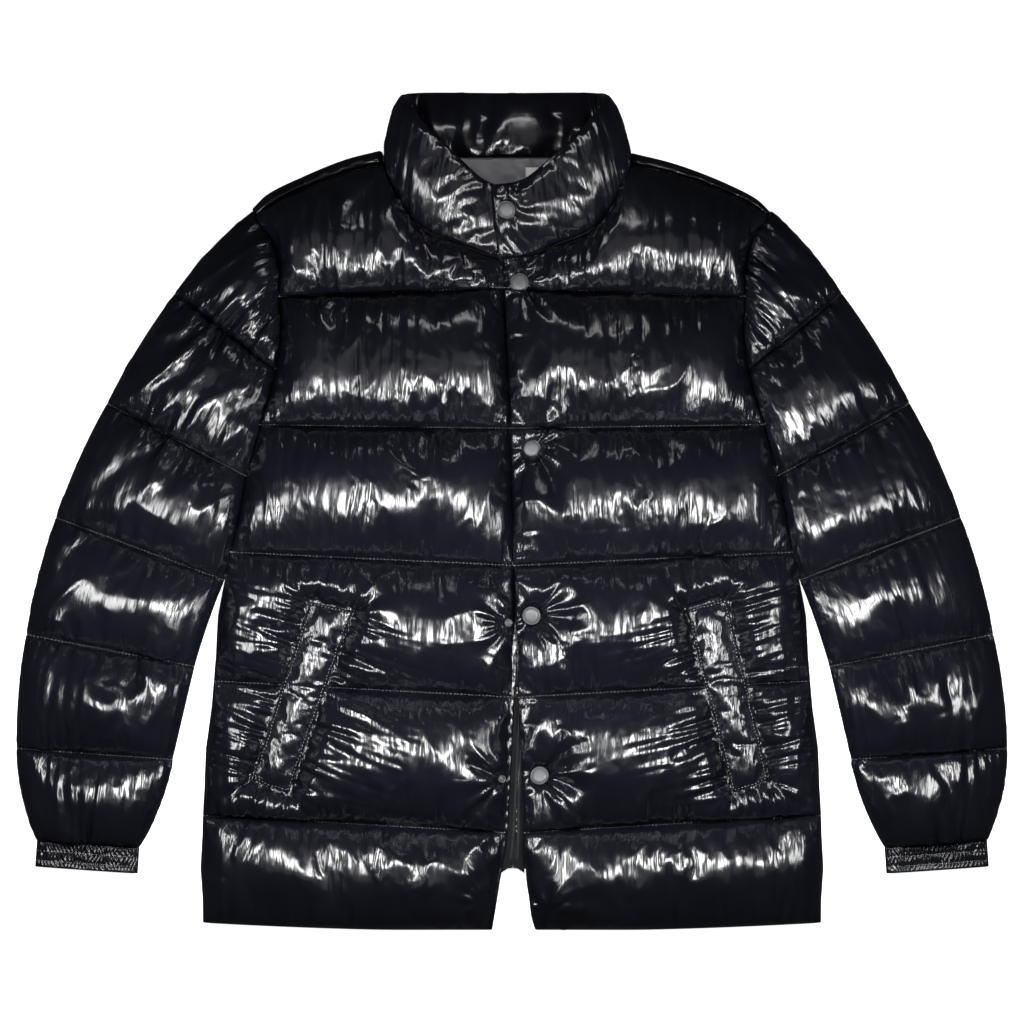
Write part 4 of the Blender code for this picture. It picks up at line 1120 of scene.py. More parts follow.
def drape(piece):
    settings = piece.modifiers.new("cloth", "CLOTH")
    settings.collision_settings.use_collision = False
    settings.point_cache.frame_end = FRAMES
    settings = settings.settings
    settings.vertex_group_mass = "stitched"
    settings.quality, settings.mass, settings.air_damping = 5, 0.1, 2
    settings.tension_stiffness = settings.compression_stiffness = 10
    settings.shear_stiffness, settings.bending_stiffness = 4, 0.15
    settings.tension_damping = settings.compression_damping = settings.shear_damping = 10
    settings.bending_damping = 0.5
    settings.use_pressure, settings.uniform_pressure_force = True, 6
    settings.effector_weights.gravity = 0
    settings.vertex_group_shrink = "spare"
    settings.shrink_min, settings.shrink_max = -0.02, -0.10


# %% Run the simulation and read the folds
MOST_TRAVEL = 0.010


def blown_up(cloths):
    """The settled grid of each piece of cloth."""
    made = {name: cloth_object(name, cloth) for name, cloth in cloths.items()}
    for frame_number in range(1, FRAMES + 1):
        bpy.context.scene.frame_set(frame_number)
    graph = bpy.context.evaluated_depsgraph_get()
    settled = {}
    for name, (piece, start) in made.items():
        mesh = bpy.data.meshes.new_from_object(piece.evaluated_get(graph))
        travel = read_vectors(mesh, "co").astype(float) - start
        length = np.linalg.norm(travel, axis=1, keepdims=True)
        travel *= np.minimum(1, MOST_TRAVEL / np.maximum(length, 1e-9))
        grid = (start + travel).reshape(cloths[name].grid.shape)
        grid[:, :, 2] = np.maximum(grid[:, :, 2], 0.0)
        settled[name] = grid
        print(f"{name}: travelled {1000 * length.mean():.1f} mm, at most {1000 * length.max():.1f}")
    for piece, _ in made.values():
        bpy.data.objects.remove(piece)
    bpy.context.scene.frame_set(1)
    return settled


settled = blown_up(pieces)

# %% [markdown]
# ### Sharp folds again
# The run rounds the sharp folds off that it started from, so they are drawn once more on the settled
# cloth, along its own normals. They fade out where the cloth is stitched down.

# %% Draw the folds on the settled cloth
SHARPEN = 0.9


def outward_normals(grid, ring):
    faces = outward_faces(grid, ring)
    a, b, c, d = corners_of(grid, faces)
    facing, normals = np.cross(c - a, d - b), np.zeros((grid.size // 3, 3))
    for k in range(4):
        np.add.at(normals, faces[:, k], facing)
    normals /= np.maximum(np.linalg.norm(normals, axis=1, keepdims=True), 1e-12)
    return normals.reshape(grid.shape)


for name, cloth in pieces.items():
    raised = (SHARPEN * cloth.folds * ~cloth.pinned)[..., None]
    settled[name] = settled[name] + outward_normals(settled[name], cloth.ring) * raised
    settled[name][:, :, 2] = np.maximum(settled[name][:, :, 2], 0.0)
    print(f"{name}: folds from {1000 * cloth.folds.min():.1f} to {1000 * cloth.folds.max():.1f} mm")

# %% [markdown]
# ## From cloth to closed pieces
# A settled grid becomes a finished mesh in two steps: its outline gets a rounded edge, and a plain
# underside closes it. The underside is only a net between the outline and a few inner points,
# because nobody sees it. Tubes need only two end caps. A fully stitched edge stays sharp, so that
# the bottom of a groove doesn't shade as a soft, light valley.


# %% A mesh object with its flat pattern and its seam value
STITCHED, MERGE_DISTANCE = 0.999, 2e-6


def sewn_object(name, points, faces, finish, flat=None, seam=None):
    """Makes a closed piece, which rides on the jacket and stands for the block's piece of its name."""
    mesh = bpy.data.meshes.new(f"{name}_dressed")
    mesh.from_pydata(np.asarray(points).tolist(), [], faces)
    if flat is not None:
        corner = np.empty(len(mesh.loops), np.int32)
        mesh.loops.foreach_get("vertex_index", corner)
        layer = mesh.uv_layers.new(name="cloth")
        layer.data.foreach_set("uv", np.asarray(flat, np.float32)[corner].reshape(-1))
        value = mesh.attributes.new("seam", "FLOAT", "POINT")
        value.data.foreach_set("value", np.asarray(seam, np.float32))
    bm = bmesh.new()
    bm.from_mesh(mesh)
    bmesh.ops.remove_doubles(bm, verts=bm.verts, dist=MERGE_DISTANCE)
    bmesh.ops.recalc_face_normals(bm, faces=bm.faces)
    stitched = bm.verts.layers.float.get("seam")
    for edge in bm.edges if stitched else ():
        edge.smooth = any(vert[stitched] < STITCHED for vert in edge.verts)
    open_edges = sum(not edge.is_manifold for edge in bm.edges)
    bm.to_mesh(mesh)
    bm.free()
    mesh.shade_smooth()
    mesh.materials.append(FINISHES[finish])
    piece = linked(f"{name}_dressed", mesh)
    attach(piece, "root")
    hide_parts(name)
    print(f"{name}: {len(mesh.polygons)} faces, {open_edges} open edges")
    return piece


# %% A panel: cloth above, a rounded edge and a plain underside
EDGE_ROWS = 3
NET_STEP = 12


def rim_of(rows, columns):
    return [
        *range(columns),
        *(r * columns + columns - 1 for r in range(1, rows)),
        *((rows - 1) * columns + c for c in range(columns - 2, -1, -1)),
        *(r * columns for r in range(rows - 2, 0, -1)),
    ]


def outward_of(loop):
    """The outward direction at each point of a flat closed outline."""
    ahead, behind = np.roll(loop, -1, axis=0), np.roll(loop, 1, axis=0)
    turned = (ahead - behind) @ np.array([[0.0, -1.0], [1.0, 0.0]])
    area = (loop[:, 0] * ahead[:, 1] - loop[:, 1] * ahead[:, 0]).sum()
    length = np.maximum(np.linalg.norm(turned, axis=1, keepdims=True), 1e-9)
    return turned / length * math.copysign(1, area)


def net_under(rim, inner):
    """Triangles between an outline and a few inner points, seen from above."""
    flat = [Vector(p[:2]) for p in (*rim, *inner)]
    edges = [(i, (i + 1) % len(rim)) for i in range(len(rim))]
    _, _, triangles, sources = delaunay_2d_cdt(flat, edges, [], 1, 1e-7)[:4]
    if not all(sources):
        print("the outline crosses itself", sum(not source for source in sources), "times")
    known = (triangle for triangle in triangles if all(sources[i] for i in triangle))
    return [[sources[i][0] for i in triangle] for triangle in known]


def wall_faces(levels):
    """Faces between closed loops of the same length, from the first loop to the last."""
    faces = []
    for a, b in zip(levels, levels[1:]):
        count = len(a)
        faces += [[a[i], a[(i + 1) % count], b[(i + 1) % count], b[i]] for i in range(count)]
    return faces


def padded_panel(name, grid, cloth, bulge, finish="gloss_shell"):
    under, flat, seam = cloth.under, cloth.flat, cloth.seam
    rows, columns = grid.shape[:2]
    rim = np.array(rim_of(rows, columns))
    upper, lower = grid.reshape(-1, 3)[rim], under.reshape(-1, 3)[rim]
    outward = outward_of(lower[:, :2])
    swell = np.array([bulge(y) for _, y, _ in lower])[:, None]
    points = [grid.reshape(-1, 3)]
    for k in range(1, EDGE_ROWS + 1):
        share = k / (EDGE_ROWS + 1)
        row = upper * (1 - share) + lower * share
        row[:, :2] += outward * swell * math.sin(math.pi * share)
        points.append(row)
    inner = under[NET_STEP:-NET_STEP:NET_STEP, NET_STEP:-NET_STEP:NET_STEP].reshape(-1, 3)
    points += [lower, inner]
    faces = grid_faces((rows, columns), False).tolist()
    first, count = rows * columns, len(rim)
    levels = [rim.tolist()] + [
        list(range(first + k * count, first + (k + 1) * count)) for k in range(EDGE_ROWS + 1)
    ]
    faces += wall_faces(levels)
    base = first + EDGE_ROWS * count
    faces += [[base + i for i in triangle] for triangle in net_under(lower, inner)]
    spread = [flat.reshape(-1, 2)] + [flat.reshape(-1, 2)[rim]] * (EDGE_ROWS + 1) + [inner[:, :2]]
    near = [seam.reshape(-1)] + [seam.reshape(-1)[rim]] * (EDGE_ROWS + 1) + [np.zeros(len(inner))]
    return sewn_object(name, np.concatenate(points), faces, finish,
                       np.concatenate(spread), np.concatenate(near))


# %% A tube: rings with two end caps
def tube_faces(rows, columns):
    """Faces of a tube of rings, whose two last points are the middles of its end caps."""
    faces = grid_faces((rows, columns), True).tolist()
    for row, hub in ((0, rows * columns), (rows - 1, rows * columns + 1)):
        ring = [row * columns + c for c in range(columns)]
        faces += [[ring[c], ring[(c + 1) % columns], hub] for c in range(columns)]
    return faces


def padded_tube(name, grid, cloth):
    flat, seam = cloth.flat, cloth.seam
    points = np.concatenate([grid.reshape(-1, 3), [grid[0].mean(0), grid[-1].mean(0)]])
    faces = tube_faces(*grid.shape[:2])
    spread = np.concatenate([flat.reshape(-1, 2), [flat[0, 0], flat[-1, 0]]])
    near = np.concatenate([seam.reshape(-1), [1, 1]])
    return sewn_object(name, points, faces, "gloss_shell", spread, near)


# %% [markdown]
# ### Sewing up the fronts, sleeves, collar and welts
# Where an edge is free, such as the hem and the front opening, the shell rolls over its padding, so
# the edge swells out a little. Where it is seamed to a neighbour it stays straight.


# %% The padded pieces
FREE_BELOW, FREE_RUN = 0.03, 0.04
FREE_SWELL, WELT_SWELL, LEAST_WALL = 0.0008, 0.0006, 0.0012


def seamed(y):
    """0 on the free lower edge, and 1 higher up, where the edges are seamed or covered."""
    return smooth((y - FREE_BELOW) / FREE_RUN)


def front_swell(y):
    return mix(FREE_SWELL, 0.0, seamed(y))


def clear_of_base(grid, cloth):
    grid = grid.copy()
    grid[:, :, 2] = np.maximum(grid[:, :, 2], cloth.under[:, :, 2] + LEAST_WALL)
    return grid


for name, cloth in pieces.items():
    if cloth.ring:
        shell = padded_tube(name, settled[name], cloth)
    else:
        settled[name] = clear_of_base(settled[name], cloth)
        swell = front_swell if name.startswith("front") else lambda y: WELT_SWELL
        shell = padded_panel(name, settled[name], cloth, swell)

# %% [markdown]
# ## The back
# The back lies under everything. Only the strip that rolls forward over the shoulders and its edge
# along the sides are seen, and the floor presses the rest flat, so it is shaped by rule and needs no
# simulation. Its quilting lines still lift off the floor, and its sides swell between them.

# %% The rule of the back
STRIP_LOFT, GROOVE_LIFT, NECK_FACING = 0.0045, 0.010, 0.0110
SHOULDER_EASE, SHOULDER_LEAN, STRIP_FOLDS = 0.0006, 0.009, 0.0016
STRIP_ROLL, STRIP_FALL, SIDE_LEDGE, PRESSED_RUN = 0.02, 0.003, 0.004, 0.6
BACK_HALF_COLUMNS = 72
BACK_STEPS = (12, 16, 16, 16, 17, 15)
STRIP_STEPS = 8


def back_line(column, index):
    share, sign = abs(column), 1 if column >= 0 else -1
    if index == 0:
        x = sign * share * side_x(QUILT_LINES[0].side_y)
        return x, back_hem_y(x)
    if index <= YOKE:
        line = QUILT_LINES[index]
        return sign * share * side_x(line.side_y), mix(line.centre_y, line.side_y, share)
    outline = index > YOKE + 1
    if share <= NECK_CORNER:
        x, y = along(BACK_NECK, share / NECK_CORNER)
        y -= 0.0 if outline else NECK_FACING
    else:
        seam = BACK_SHOULDER if outline else FRONT_SHOULDER
        x, y = along(seam, (share - NECK_CORNER) / (1 - NECK_CORNER))
        y += 0.0 if outline else SHOULDER_EASE
    if outline:
        y -= SHOULDER_LEAN * sign * x
    return sign * x + neck_shift(x) + corner_ease(share, sign), y


def back_point(index, phase, column):
    low, high = back_line(column, index), back_line(column, index + 1)
    x, y = mix(low[0], high[0], phase), mix(low[1], high[1], phase)
    strip = index == YOKE + 1
    if not strip:
        ends = back_line(1.0, index), back_line(1.0, index + 1)
        straight = mix(abs(ends[0][0]), abs(ends[1][0]), phase)
        x += (side_x(mix(ends[0][1], ends[1][1], phase)) - straight) * column * abs(column)
    inward = (1 - abs(column)) * side_x(y)
    pressed = clamp(1 - arch(phase) * quarter((inward + SIDE_LEDGE) / SIDE_ROLL) / PRESSED_RUN)
    top = BACK_TOP
    if strip and abs(column) >= NECK_CORNER:
        puff = arch(phase) * quarter(inward / STRIP_ROLL)
        top += STRIP_LOFT * puff - STRIP_FALL * phase
        top += STRIP_FOLDS * puff * (ridge(x, y * 0.5, 8.0, 70.0) + 0.5 * ridge(x, y, 9.0, 130.0))
    return x, y, GROOVE_LIFT * (phase if strip else pressed), top


# %% The back as a closed panel
BACK_WALLS = (0.25, 0.5, 0.75)
BACK_EDGE, BACK_SWELL = 0.0001, 0.0028


def back_panel():
    columns = [i / BACK_HALF_COLUMNS for i in range(-BACK_HALF_COLUMNS, BACK_HALF_COLUMNS + 1)]
    rows = band_rows(BACK_STEPS)
    rows += [(YOKE + 1, i / STRIP_STEPS) for i in range(STRIP_STEPS + 1)]
    points = np.array([[back_point(*row, column) for column in columns] for row in rows])
    top, under = points[:, :, [0, 1, 3]], points[:, :, :3]
    seam = np.array([1 - 2 * min(phase, 1 - phase) for _, phase in rows])
    seam = np.repeat(seam[:, None], len(columns), axis=1)
    faces, n = grid_faces(top.shape[:2], False), top.shape[0] * top.shape[1]
    rim = rim_of(*top.shape[:2])
    upper, lower = top.reshape(-1, 3)[rim], under.reshape(-1, 3)[rim]
    outward, walls = outward_of(lower[:, :2]), []
    free = np.array([1 - seamed(y) for y in lower[:, 1]])[:, None]
    slack = 1 - seam.reshape(-1)[rim][:, None]
    for share in BACK_WALLS:
        row = upper * (1 - share) + lower * share
        row[:, :2] += outward * math.sin(math.pi * share) * (BACK_EDGE + BACK_SWELL * free * slack)
        walls.append(row)
    starts = [2 * n + k * len(rim) for k in range(len(walls))]
    levels = [rim, *(range(start, start + len(rim)) for start in starts), [i + n for i in rim]]
    faces = faces.tolist() + (faces[:, ::-1] + n).tolist() + wall_faces(levels)
    flat, near = top.reshape(-1, 3)[:, :2], seam.reshape(-1)
    points = np.concatenate([top.reshape(-1, 3), under.reshape(-1, 3), *walls])
    spread, near = (np.concatenate([v, v, *[v[rim]] * len(walls)]) for v in (flat, near))
    return sewn_object("back", points, faces, "gloss_shell", spread, near)


back = back_panel()

# %% [markdown]
# ## The cuffs
# Each cuff is a double band of the shell, shirred on rows of elastic. The elastic pulls the cloth
# into small upright gathers, a little deeper on the rows. The band is a flattened tube with a real
# opening for the hand.

# %% A cuff
CUFF_LENGTH, CUFF_HALF_HEIGHT, CUFF_WALL = 0.0235, 0.010, 0.0035
CUFF_GATHERS, CUFF_GATHER_DEPTH, CUFF_FULLNESS = 27, 0.0040, 0.00008
CUFF_WANDER, CUFF_SLANT, CUFF_WANDER_SCALE, CUFF_PATCH_SCALE = 1.5, 0.6, 6.0, 11.0
CUFF_ROWS, CUFF_STEPS, CUFF_HEM, CUFF_HEM_RUN = 16, 640, 0.80, 0.1
ELASTIC_ROWS, ELASTIC_REACH, ELASTIC_DIP = (0.0, 0.36, 0.72), 0.085, 0.0003
SLIT_HALF = 0.0006


def cuff_ring(sign, down, seed):
    seam = SLEEVE_LINES[-1]
    outer, inner = Vector((seam.outer_x, seam.outer_y)), Vector((seam.inner_x, seam.inner_y))
    across = (outer - inner).normalized()
    shift = Vector((across.y, -across.x)) * (GAP + CUFF_LENGTH * down)
    elastic = max(math.exp(-(((down - row) / ELASTIC_REACH) ** 2)) for row in ELASTIC_ROWS)
    hem = 1 - 0.8 * smooth((down - CUFF_HEM) / CUFF_HEM_RUN)
    ring, hole = [], []
    for i in range(CUFF_STEPS):
        angle = 2 * math.pi * i / CUFF_STEPS
        share, swing = (1 - math.cos(angle)) / 2, math.sin(angle)
        wander = CUFF_WANDER * ripple(share, down * CUFF_SLANT, seed, CUFF_WANDER_SCALE)
        valley = (0.5 + 0.5 * math.cos(2 * math.pi * (CUFF_GATHERS * share + wander))) ** 1.6
        valley *= CUFF_GATHER_DEPTH * (0.55 + 0.45 * ripple(share, down, seed + 2, CUFF_PATCH_SCALE))
        valley *= abs(swing) ** 0.4 * (0.9 + 0.1 * elastic) * hem
        reach = CUFF_HALF_HEIGHT - ELASTIC_DIP * elastic - valley + CUFF_FULLNESS * (1 - elastic)
        rise = reach * swing**0.6 if swing >= 0 else -1.2 * CUFF_HALF_HEIGHT * (-swing) ** 0.5
        flat = outer.lerp(inner, share) + shift
        ring.append((sign * flat.x, flat.y, max(0.0, CUFF_HALF_HEIGHT + rise)))
        flat = (outer - across * CUFF_WALL).lerp(inner + across * CUFF_WALL, share) + shift
        hole.append((sign * flat.x, flat.y, CUFF_HALF_HEIGHT + SLIT_HALF * swing))
    return ring, hole


def cuff(name, sign):
    rings = [cuff_ring(sign, row / CUFF_ROWS, 3.0 + sign) for row in range(CUFF_ROWS + 1)]
    outside, bore = [ring for ring, _ in rings], [rings[-1][1], rings[0][1]]
    points = np.array(outside + bore)
    first, last = range(CUFF_STEPS), range((len(points) - 1) * CUFF_STEPS, len(points) * CUFF_STEPS)
    faces = grid_faces(points.shape[:2], True).tolist() + wall_faces([last, first])
    flat = points[:, :, :2].reshape(-1, 2)
    piece = sewn_object(name, points.reshape(-1, 3), faces, "elastic_cuff", flat, np.zeros(len(flat)))
    outer = np.array(outside[CUFF_ROWS // 2])
    round_length = np.linalg.norm(outer - np.roll(outer, 1, axis=0), axis=1).sum()
    print(f"{name}: {1000 * round_length:.0f} mm round its gathers")
    return piece, np.array(outside)


cuffs = {name: cuff(name, sign) for name, sign in (("cuff_right", -1), ("cuff_left", 1))}

# %% [markdown]
# ## The lining and its label
# Through the neck we see the grey satin lining of the back, lying in soft ripples below the collar
# seam, and one small woven label with its ends turned under. The label is left blank.

# %% Thin cloth: a grid with a parallel underside
def thin_cloth(name, grid, thickness, finish, fullness=0.0):
    grid = np.array(grid)
    under = grid.copy()
    under[:, :, 2] -= thickness
    seam = np.zeros(grid.shape[:2])
    cloth = Cloth(grid, under, None, None, seam, grid[:, :, :2].copy(), None, False)
    return padded_panel(name, grid, cloth, lambda y: fullness, finish)


# %% The satin lining
LINING_HALF, LINING_LOW, LINING_HIGH = 0.052, 0.262, 0.3180
LINING_LEVEL, LINING_LIFT, LINING_THICKNESS = 0.0216, 0.0004, 0.0009
LINING_NARROWING, LINING_FOLD, LINING_CRINKLE = 0.8, 0.0011, 0.0005
LINING_HALF_COLUMNS, LINING_ROWS = 26, 28


def thin_grid(point, half_columns, first_row, last_row):
    """Rows of points from a rule that takes shares across, from -1 to 1, and up."""
    return [
        [point(i / half_columns, j / last_row) for i in range(-half_columns, half_columns + 1)]
        for j in range(first_row, last_row + 1)
    ]


def lining_point(across, up):
    half = LINING_HALF * mix(LINING_NARROWING, 1.0, up)
    x, y = NECK_X + half * across, mix(LINING_LOW, LINING_HIGH, up)
    folds = LINING_FOLD * ripple(x, y * 0.35, 12.0, 75.0)
    folds += LINING_CRINKLE * ripple(x, y, 14.0, 160.0)
    return x, y, LINING_LEVEL + LINING_LIFT + folds


rows = thin_grid(lining_point, LINING_HALF_COLUMNS, 0, LINING_ROWS)
lining = thin_cloth("neck_lining", rows, LINING_THICKNESS, "satin_lining")

# %% The blank label
LABEL_CENTRE, LABEL_SIZE = (0.0185, 0.3045), (0.0120, 0.0090)
LABEL_LIFT, LABEL_THICKNESS, LABEL_SWELL, LABEL_BOW = 0.0016, 0.0007, 0.0002, 0.0003
LABEL_TURNED, LABEL_END = 0.0005, 0.15
LABEL_HALF_COLUMNS, LABEL_HALF_ROWS = 12, 9


def label_point(across, up):
    x, y = (LABEL_CENTRE[k] + LABEL_SIZE[k] * v / 2 for k, v in enumerate((across, up)))
    turned_end = LABEL_TURNED * quarter((1 - abs(across)) / LABEL_END)
    return x, y, LINING_LEVEL + LABEL_LIFT + turned_end + LABEL_BOW * math.cos(across * 2.2)


rows = thin_grid(label_point, LABEL_HALF_COLUMNS, -LABEL_HALF_ROWS, LABEL_HALF_ROWS)
label = thin_cloth("neck_label", rows, LABEL_THICKNESS, "woven_label", LABEL_SWELL)

# %% [markdown]
# ## The zip
# Below the waist the front opening shows the two halves of an open zip. A zip tape is a narrow woven
# band with a row of small coil teeth along its inner edge. The teeth repeat at an even pitch, so they
# are made with Geometry Nodes, by the same tree that sews the stitches.


# %% One tree that repeats a small shape along a line
def repeat_tree():
    tree = bpy.data.node_groups.new("repeat along a line", "GeometryNodeTree")
    wanted = (("Line", "Geometry"), ("Pitch", "Float"), ("Length", "Float"), ("Width", "Float"),
              ("Height", "Float"), ("Wobble", "Float"), ("Finish", "Material"))
    for name, kind in wanted:
        tree.interface.new_socket(name, in_out="INPUT", socket_type=f"NodeSocket{kind}")
    tree.interface.new_socket("Pieces", in_out="OUTPUT", socket_type="NodeSocketGeometry")

    def add(kind, settings=None, sockets=None):
        node = tree.nodes.new(kind)
        for key, value in (settings or {}).items():
            setattr(node, key, value)
        for key, value in (sockets or {}).items():
            if isinstance(value, bpy.types.NodeSocket):
                tree.links.new(value, node.inputs[key])
            else:
                node.inputs[key].default_value = value
        return node.outputs

    given = add("NodeGroupInput")
    curve = add("GeometryNodeMeshToCurve", None, {"Mesh": given["Line"]})["Curve"]
    even = add("GeometryNodeResampleCurve", {"mode": "LENGTH"},
               {"Curve": curve, "Length": given["Pitch"]})["Curve"]
    low = add("ShaderNodeMath", {"operation": "MULTIPLY"}, {0: given["Wobble"], 1: -1.0})["Value"]
    jitter = add("FunctionNodeRandomValue", {"data_type": "FLOAT_VECTOR"},
                 {0: low, 1: given["Wobble"], "Seed": 7})[0]
    shaken = add("GeometryNodeSetPosition", None, {"Geometry": even, "Offset": jitter})["Geometry"]
    tangent = add("GeometryNodeInputTangent")["Tangent"]
    turn = add("FunctionNodeAlignRotationToVector", {"axis": "X"}, {"Vector": tangent})["Rotation"]
    bead = add("GeometryNodeMeshUVSphere", None, {"Segments": 6, "Rings": 4, "Radius": 0.5})["Mesh"]
    size = add("ShaderNodeCombineXYZ", None,
               {"X": given["Length"], "Y": given["Width"], "Z": given["Height"]})["Vector"]
    placed = add("GeometryNodeInstanceOnPoints", None,
                 {"Points": shaken, "Instance": bead, "Rotation": turn, "Scale": size})["Instances"]
    real = add("GeometryNodeRealizeInstances", None, {"Geometry": placed})["Geometry"]
    soft = add("GeometryNodeSetShadeSmooth", None, {"Geometry": real})["Geometry"]
    done = add("GeometryNodeSetMaterial", None,
               {"Geometry": soft, "Material": given["Finish"]})["Geometry"]
    add("NodeGroupOutput", None, {"Pieces": done})
    return tree


REPEAT = repeat_tree()
print("tree inputs:", [s.name for s in REPEAT.interface.items_tree if s.in_out == "INPUT"])


# %% Use the tree on one or more lines
def repeated(name, lines, finish, **sizes):
    """Beads along open lines of points, as one plain mesh."""
    points, edges = [], []
    for line in lines:
        edges += [(len(points) + i, len(points) + i + 1) for i in range(len(line) - 1)]
        points += [tuple(p) for p in line]
    mesh = bpy.data.meshes.new(f"{name} line")
    mesh.from_pydata(points, edges, [])
    helper = linked(f"{name} line", mesh)
    nodes = helper.modifiers.new("repeat", "NODES")
    nodes.node_group = REPEAT
    for socket in REPEAT.interface.items_tree:
        if socket.in_out == "INPUT" and socket.name in sizes:
            nodes[socket.identifier] = sizes[socket.name]
        elif socket.in_out == "INPUT" and socket.name == "Finish":
            nodes[socket.identifier] = FINISHES[finish]
    graph = bpy.context.evaluated_depsgraph_get()
    made = bpy.data.meshes.new_from_object(helper.evaluated_get(graph))
    bpy.data.objects.remove(helper)
    piece = linked(name, made)
    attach(piece, "root")
    print(f"{name}: {len(made.polygons)} faces along {len(lines)} lines")
    return piece


# %% The two tapes and their teeth
TAPE_WIDTH, TAPE_LEVEL, TAPE_THICKNESS = 0.0062, 0.0216, 0.0009
TAPE_FLARE, TAPE_FLARE_START, TAPE_SLANT = 0.5, 0.88, 0.006
TAPE_WAVE, TAPE_CROWN, TAPE_SWELL = 0.0007, 0.0005, 0.0002
TAPE_ROWS, TAPE_HALF_COLUMNS, TEETH_ROWS = 70, 4, 66
TEETH_ACROSS, TEETH_LIFT = 0.72, Vector((0, 0, 0.0005))
TAPE_KNOTS = [-p.y for p in ZIP_TAPES]


def tape_centre(field, at):
    return curve_at(TAPE_KNOTS, [getattr(p, field) for p in ZIP_TAPES], at)


def tape_point(field, share, across):
    at = mix(TAPE_KNOTS[0], TAPE_KNOTS[-1], share)
    flare = smooth((share - TAPE_FLARE_START) / (1 - TAPE_FLARE_START))
    inward = across if field == "right_x" else -across
    x = tape_centre(field, at) + across * TAPE_WIDTH / 2 * (1 + TAPE_FLARE * flare)
    at -= TAPE_SLANT * flare * (1 + inward) / 2
    wave = TAPE_WAVE * ripple(0.1 * across, at, 21.0, 45.0)
    return x, -at, TAPE_LEVEL + wave + TAPE_CROWN * (1 - across * across)


TEETH = {"Pitch": 0.00145, "Length": 0.0009, "Width": 0.0027, "Height": 0.0013, "Wobble": 0.00002}
for name, field, inner in (("right", "right_x", 1), ("left", "left_x", -1)):
    rows = thin_grid(
        lambda across, share: tape_point(field, share, across), TAPE_HALF_COLUMNS, 0, TAPE_ROWS
    )
    tape = thin_cloth(f"zip_tape_{name}", rows, TAPE_THICKNESS, "zip_tape", TAPE_SWELL)
    shares = [j / TAPE_ROWS for j in range(TEETH_ROWS)]
    line = [Vector(tape_point(field, share, inner * TEETH_ACROSS)) + TEETH_LIFT for share in shares]
    repeated(f"zip_teeth_{name}", [line], "zip_teeth", **TEETH)

# %% [markdown]
# ## Snaps
# The snap caps are gunmetal: a low dome with a rolled rim, clenched through the cloth. The studs on
# the other front are the small rings that the caps press on to. Both are turned shapes, so a half
# profile goes round an axis. The block says where each one sits and how far it leans.

# %% Turned metal
CAP_PROFILE = (
    (0.0, 0.0030), (0.30, 0.00298), (0.58, 0.0028), (0.76, 0.0024), (0.85, 0.0019), (0.885, 0.0013),
    (0.905, 0.0011), (0.93, 0.0013), (0.965, 0.00135), (0.99, 0.0011), (1.0, 0.0007), (0.97, 0.0),
    (0.0, 0.0),
)
STUD_PROFILE = (
    (0.0, 0.0017), (0.22, 0.0016), (0.32, 0.0012), (0.36, 0.0005), (0.55, 0.0005), (0.62, 0.0014),
    (0.72, 0.0022), (0.84, 0.0023), (0.94, 0.0019), (1.0, 0.0010), (0.97, 0.0), (0.0, 0.0),
)
LATHE_STEPS = 48


def seat_of(node):
    """The middle of a block's flat disc, and the way its axis leans."""
    points = np.array([v.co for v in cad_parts[node].data.vertices])
    centre = (points.max(0) + points.min(0)) / 2
    axis = Vector(np.linalg.svd(points - points.mean(0))[2][2])
    axis = axis if axis.z > 0 else -axis
    base = min(float(np.dot(p - centre, axis)) for p in points)
    radius = max((Vector(p - centre).cross(axis)).length for p in points)
    return Vector(centre) + axis * base, axis, radius


def turned(node, profile):
    seat, axis, radius = seat_of(node)
    lean = axis.to_track_quat("Z", "Y")
    points = []
    for share, height in profile[1:-1]:
        for i in range(LATHE_STEPS):
            angle = 2 * math.pi * i / LATHE_STEPS
            spot = Vector((share * radius * math.cos(angle), share * radius * math.sin(angle), height))
            points.append(seat + lean @ spot)
    points += [seat + lean @ Vector((0, 0, profile[0][1])), seat]
    return sewn_object(node, points, tube_faces(len(profile) - 2, LATHE_STEPS), "snap_metal")


for snap in (*SNAPS, COLLAR_SNAP):
    turned(f"snap_cap_{snap.name}", CAP_PROFILE)
for stud in STUDS:
    turned(f"snap_stud_{stud.name}", STUD_PROFILE)

# %% [markdown]
# ## Sewing
# Every line of stitching is a row of short threads, about eight to the inch, that dip into the cloth
# between two needle holes. Each one is a small bead with a couple of dozen faces, and the line that
# it follows is read from the settled cloth, so the sewing sits exactly in its groove.

# %% Lines along the quilting of a panel
STITCH = {"Pitch": 0.0032, "Length": 0.0015, "Width": 0.0005, "Height": 0.0005, "Wobble": 0.00012}
STITCH_LIFT = Vector((0, 0, 0.0002))
SLEEVE_SKIP, CUFF_SKIP = 5, 4


def without_gaps(points, keep):
    """Splits a line where points are left out."""
    lines, line = [], []
    for point, kept in zip(points, keep):
        if kept:
            line.append(Vector(point) + STITCH_LIFT)
        elif line:
            lines, line = [*lines, line], []
    return [part for part in [*lines, line] if len(part) > 2]


def quilting(surface, steps, first, last, sign=0):
    lines, row = [], 0
    for count in steps[:-1]:
        row += count
        points = surface[row, first:last]
        keep = [not sign or from_welt(x, y, sign)[0] > WELT_SEWN for x, y, _ in points]
        lines += without_gaps(points, keep)
    return lines


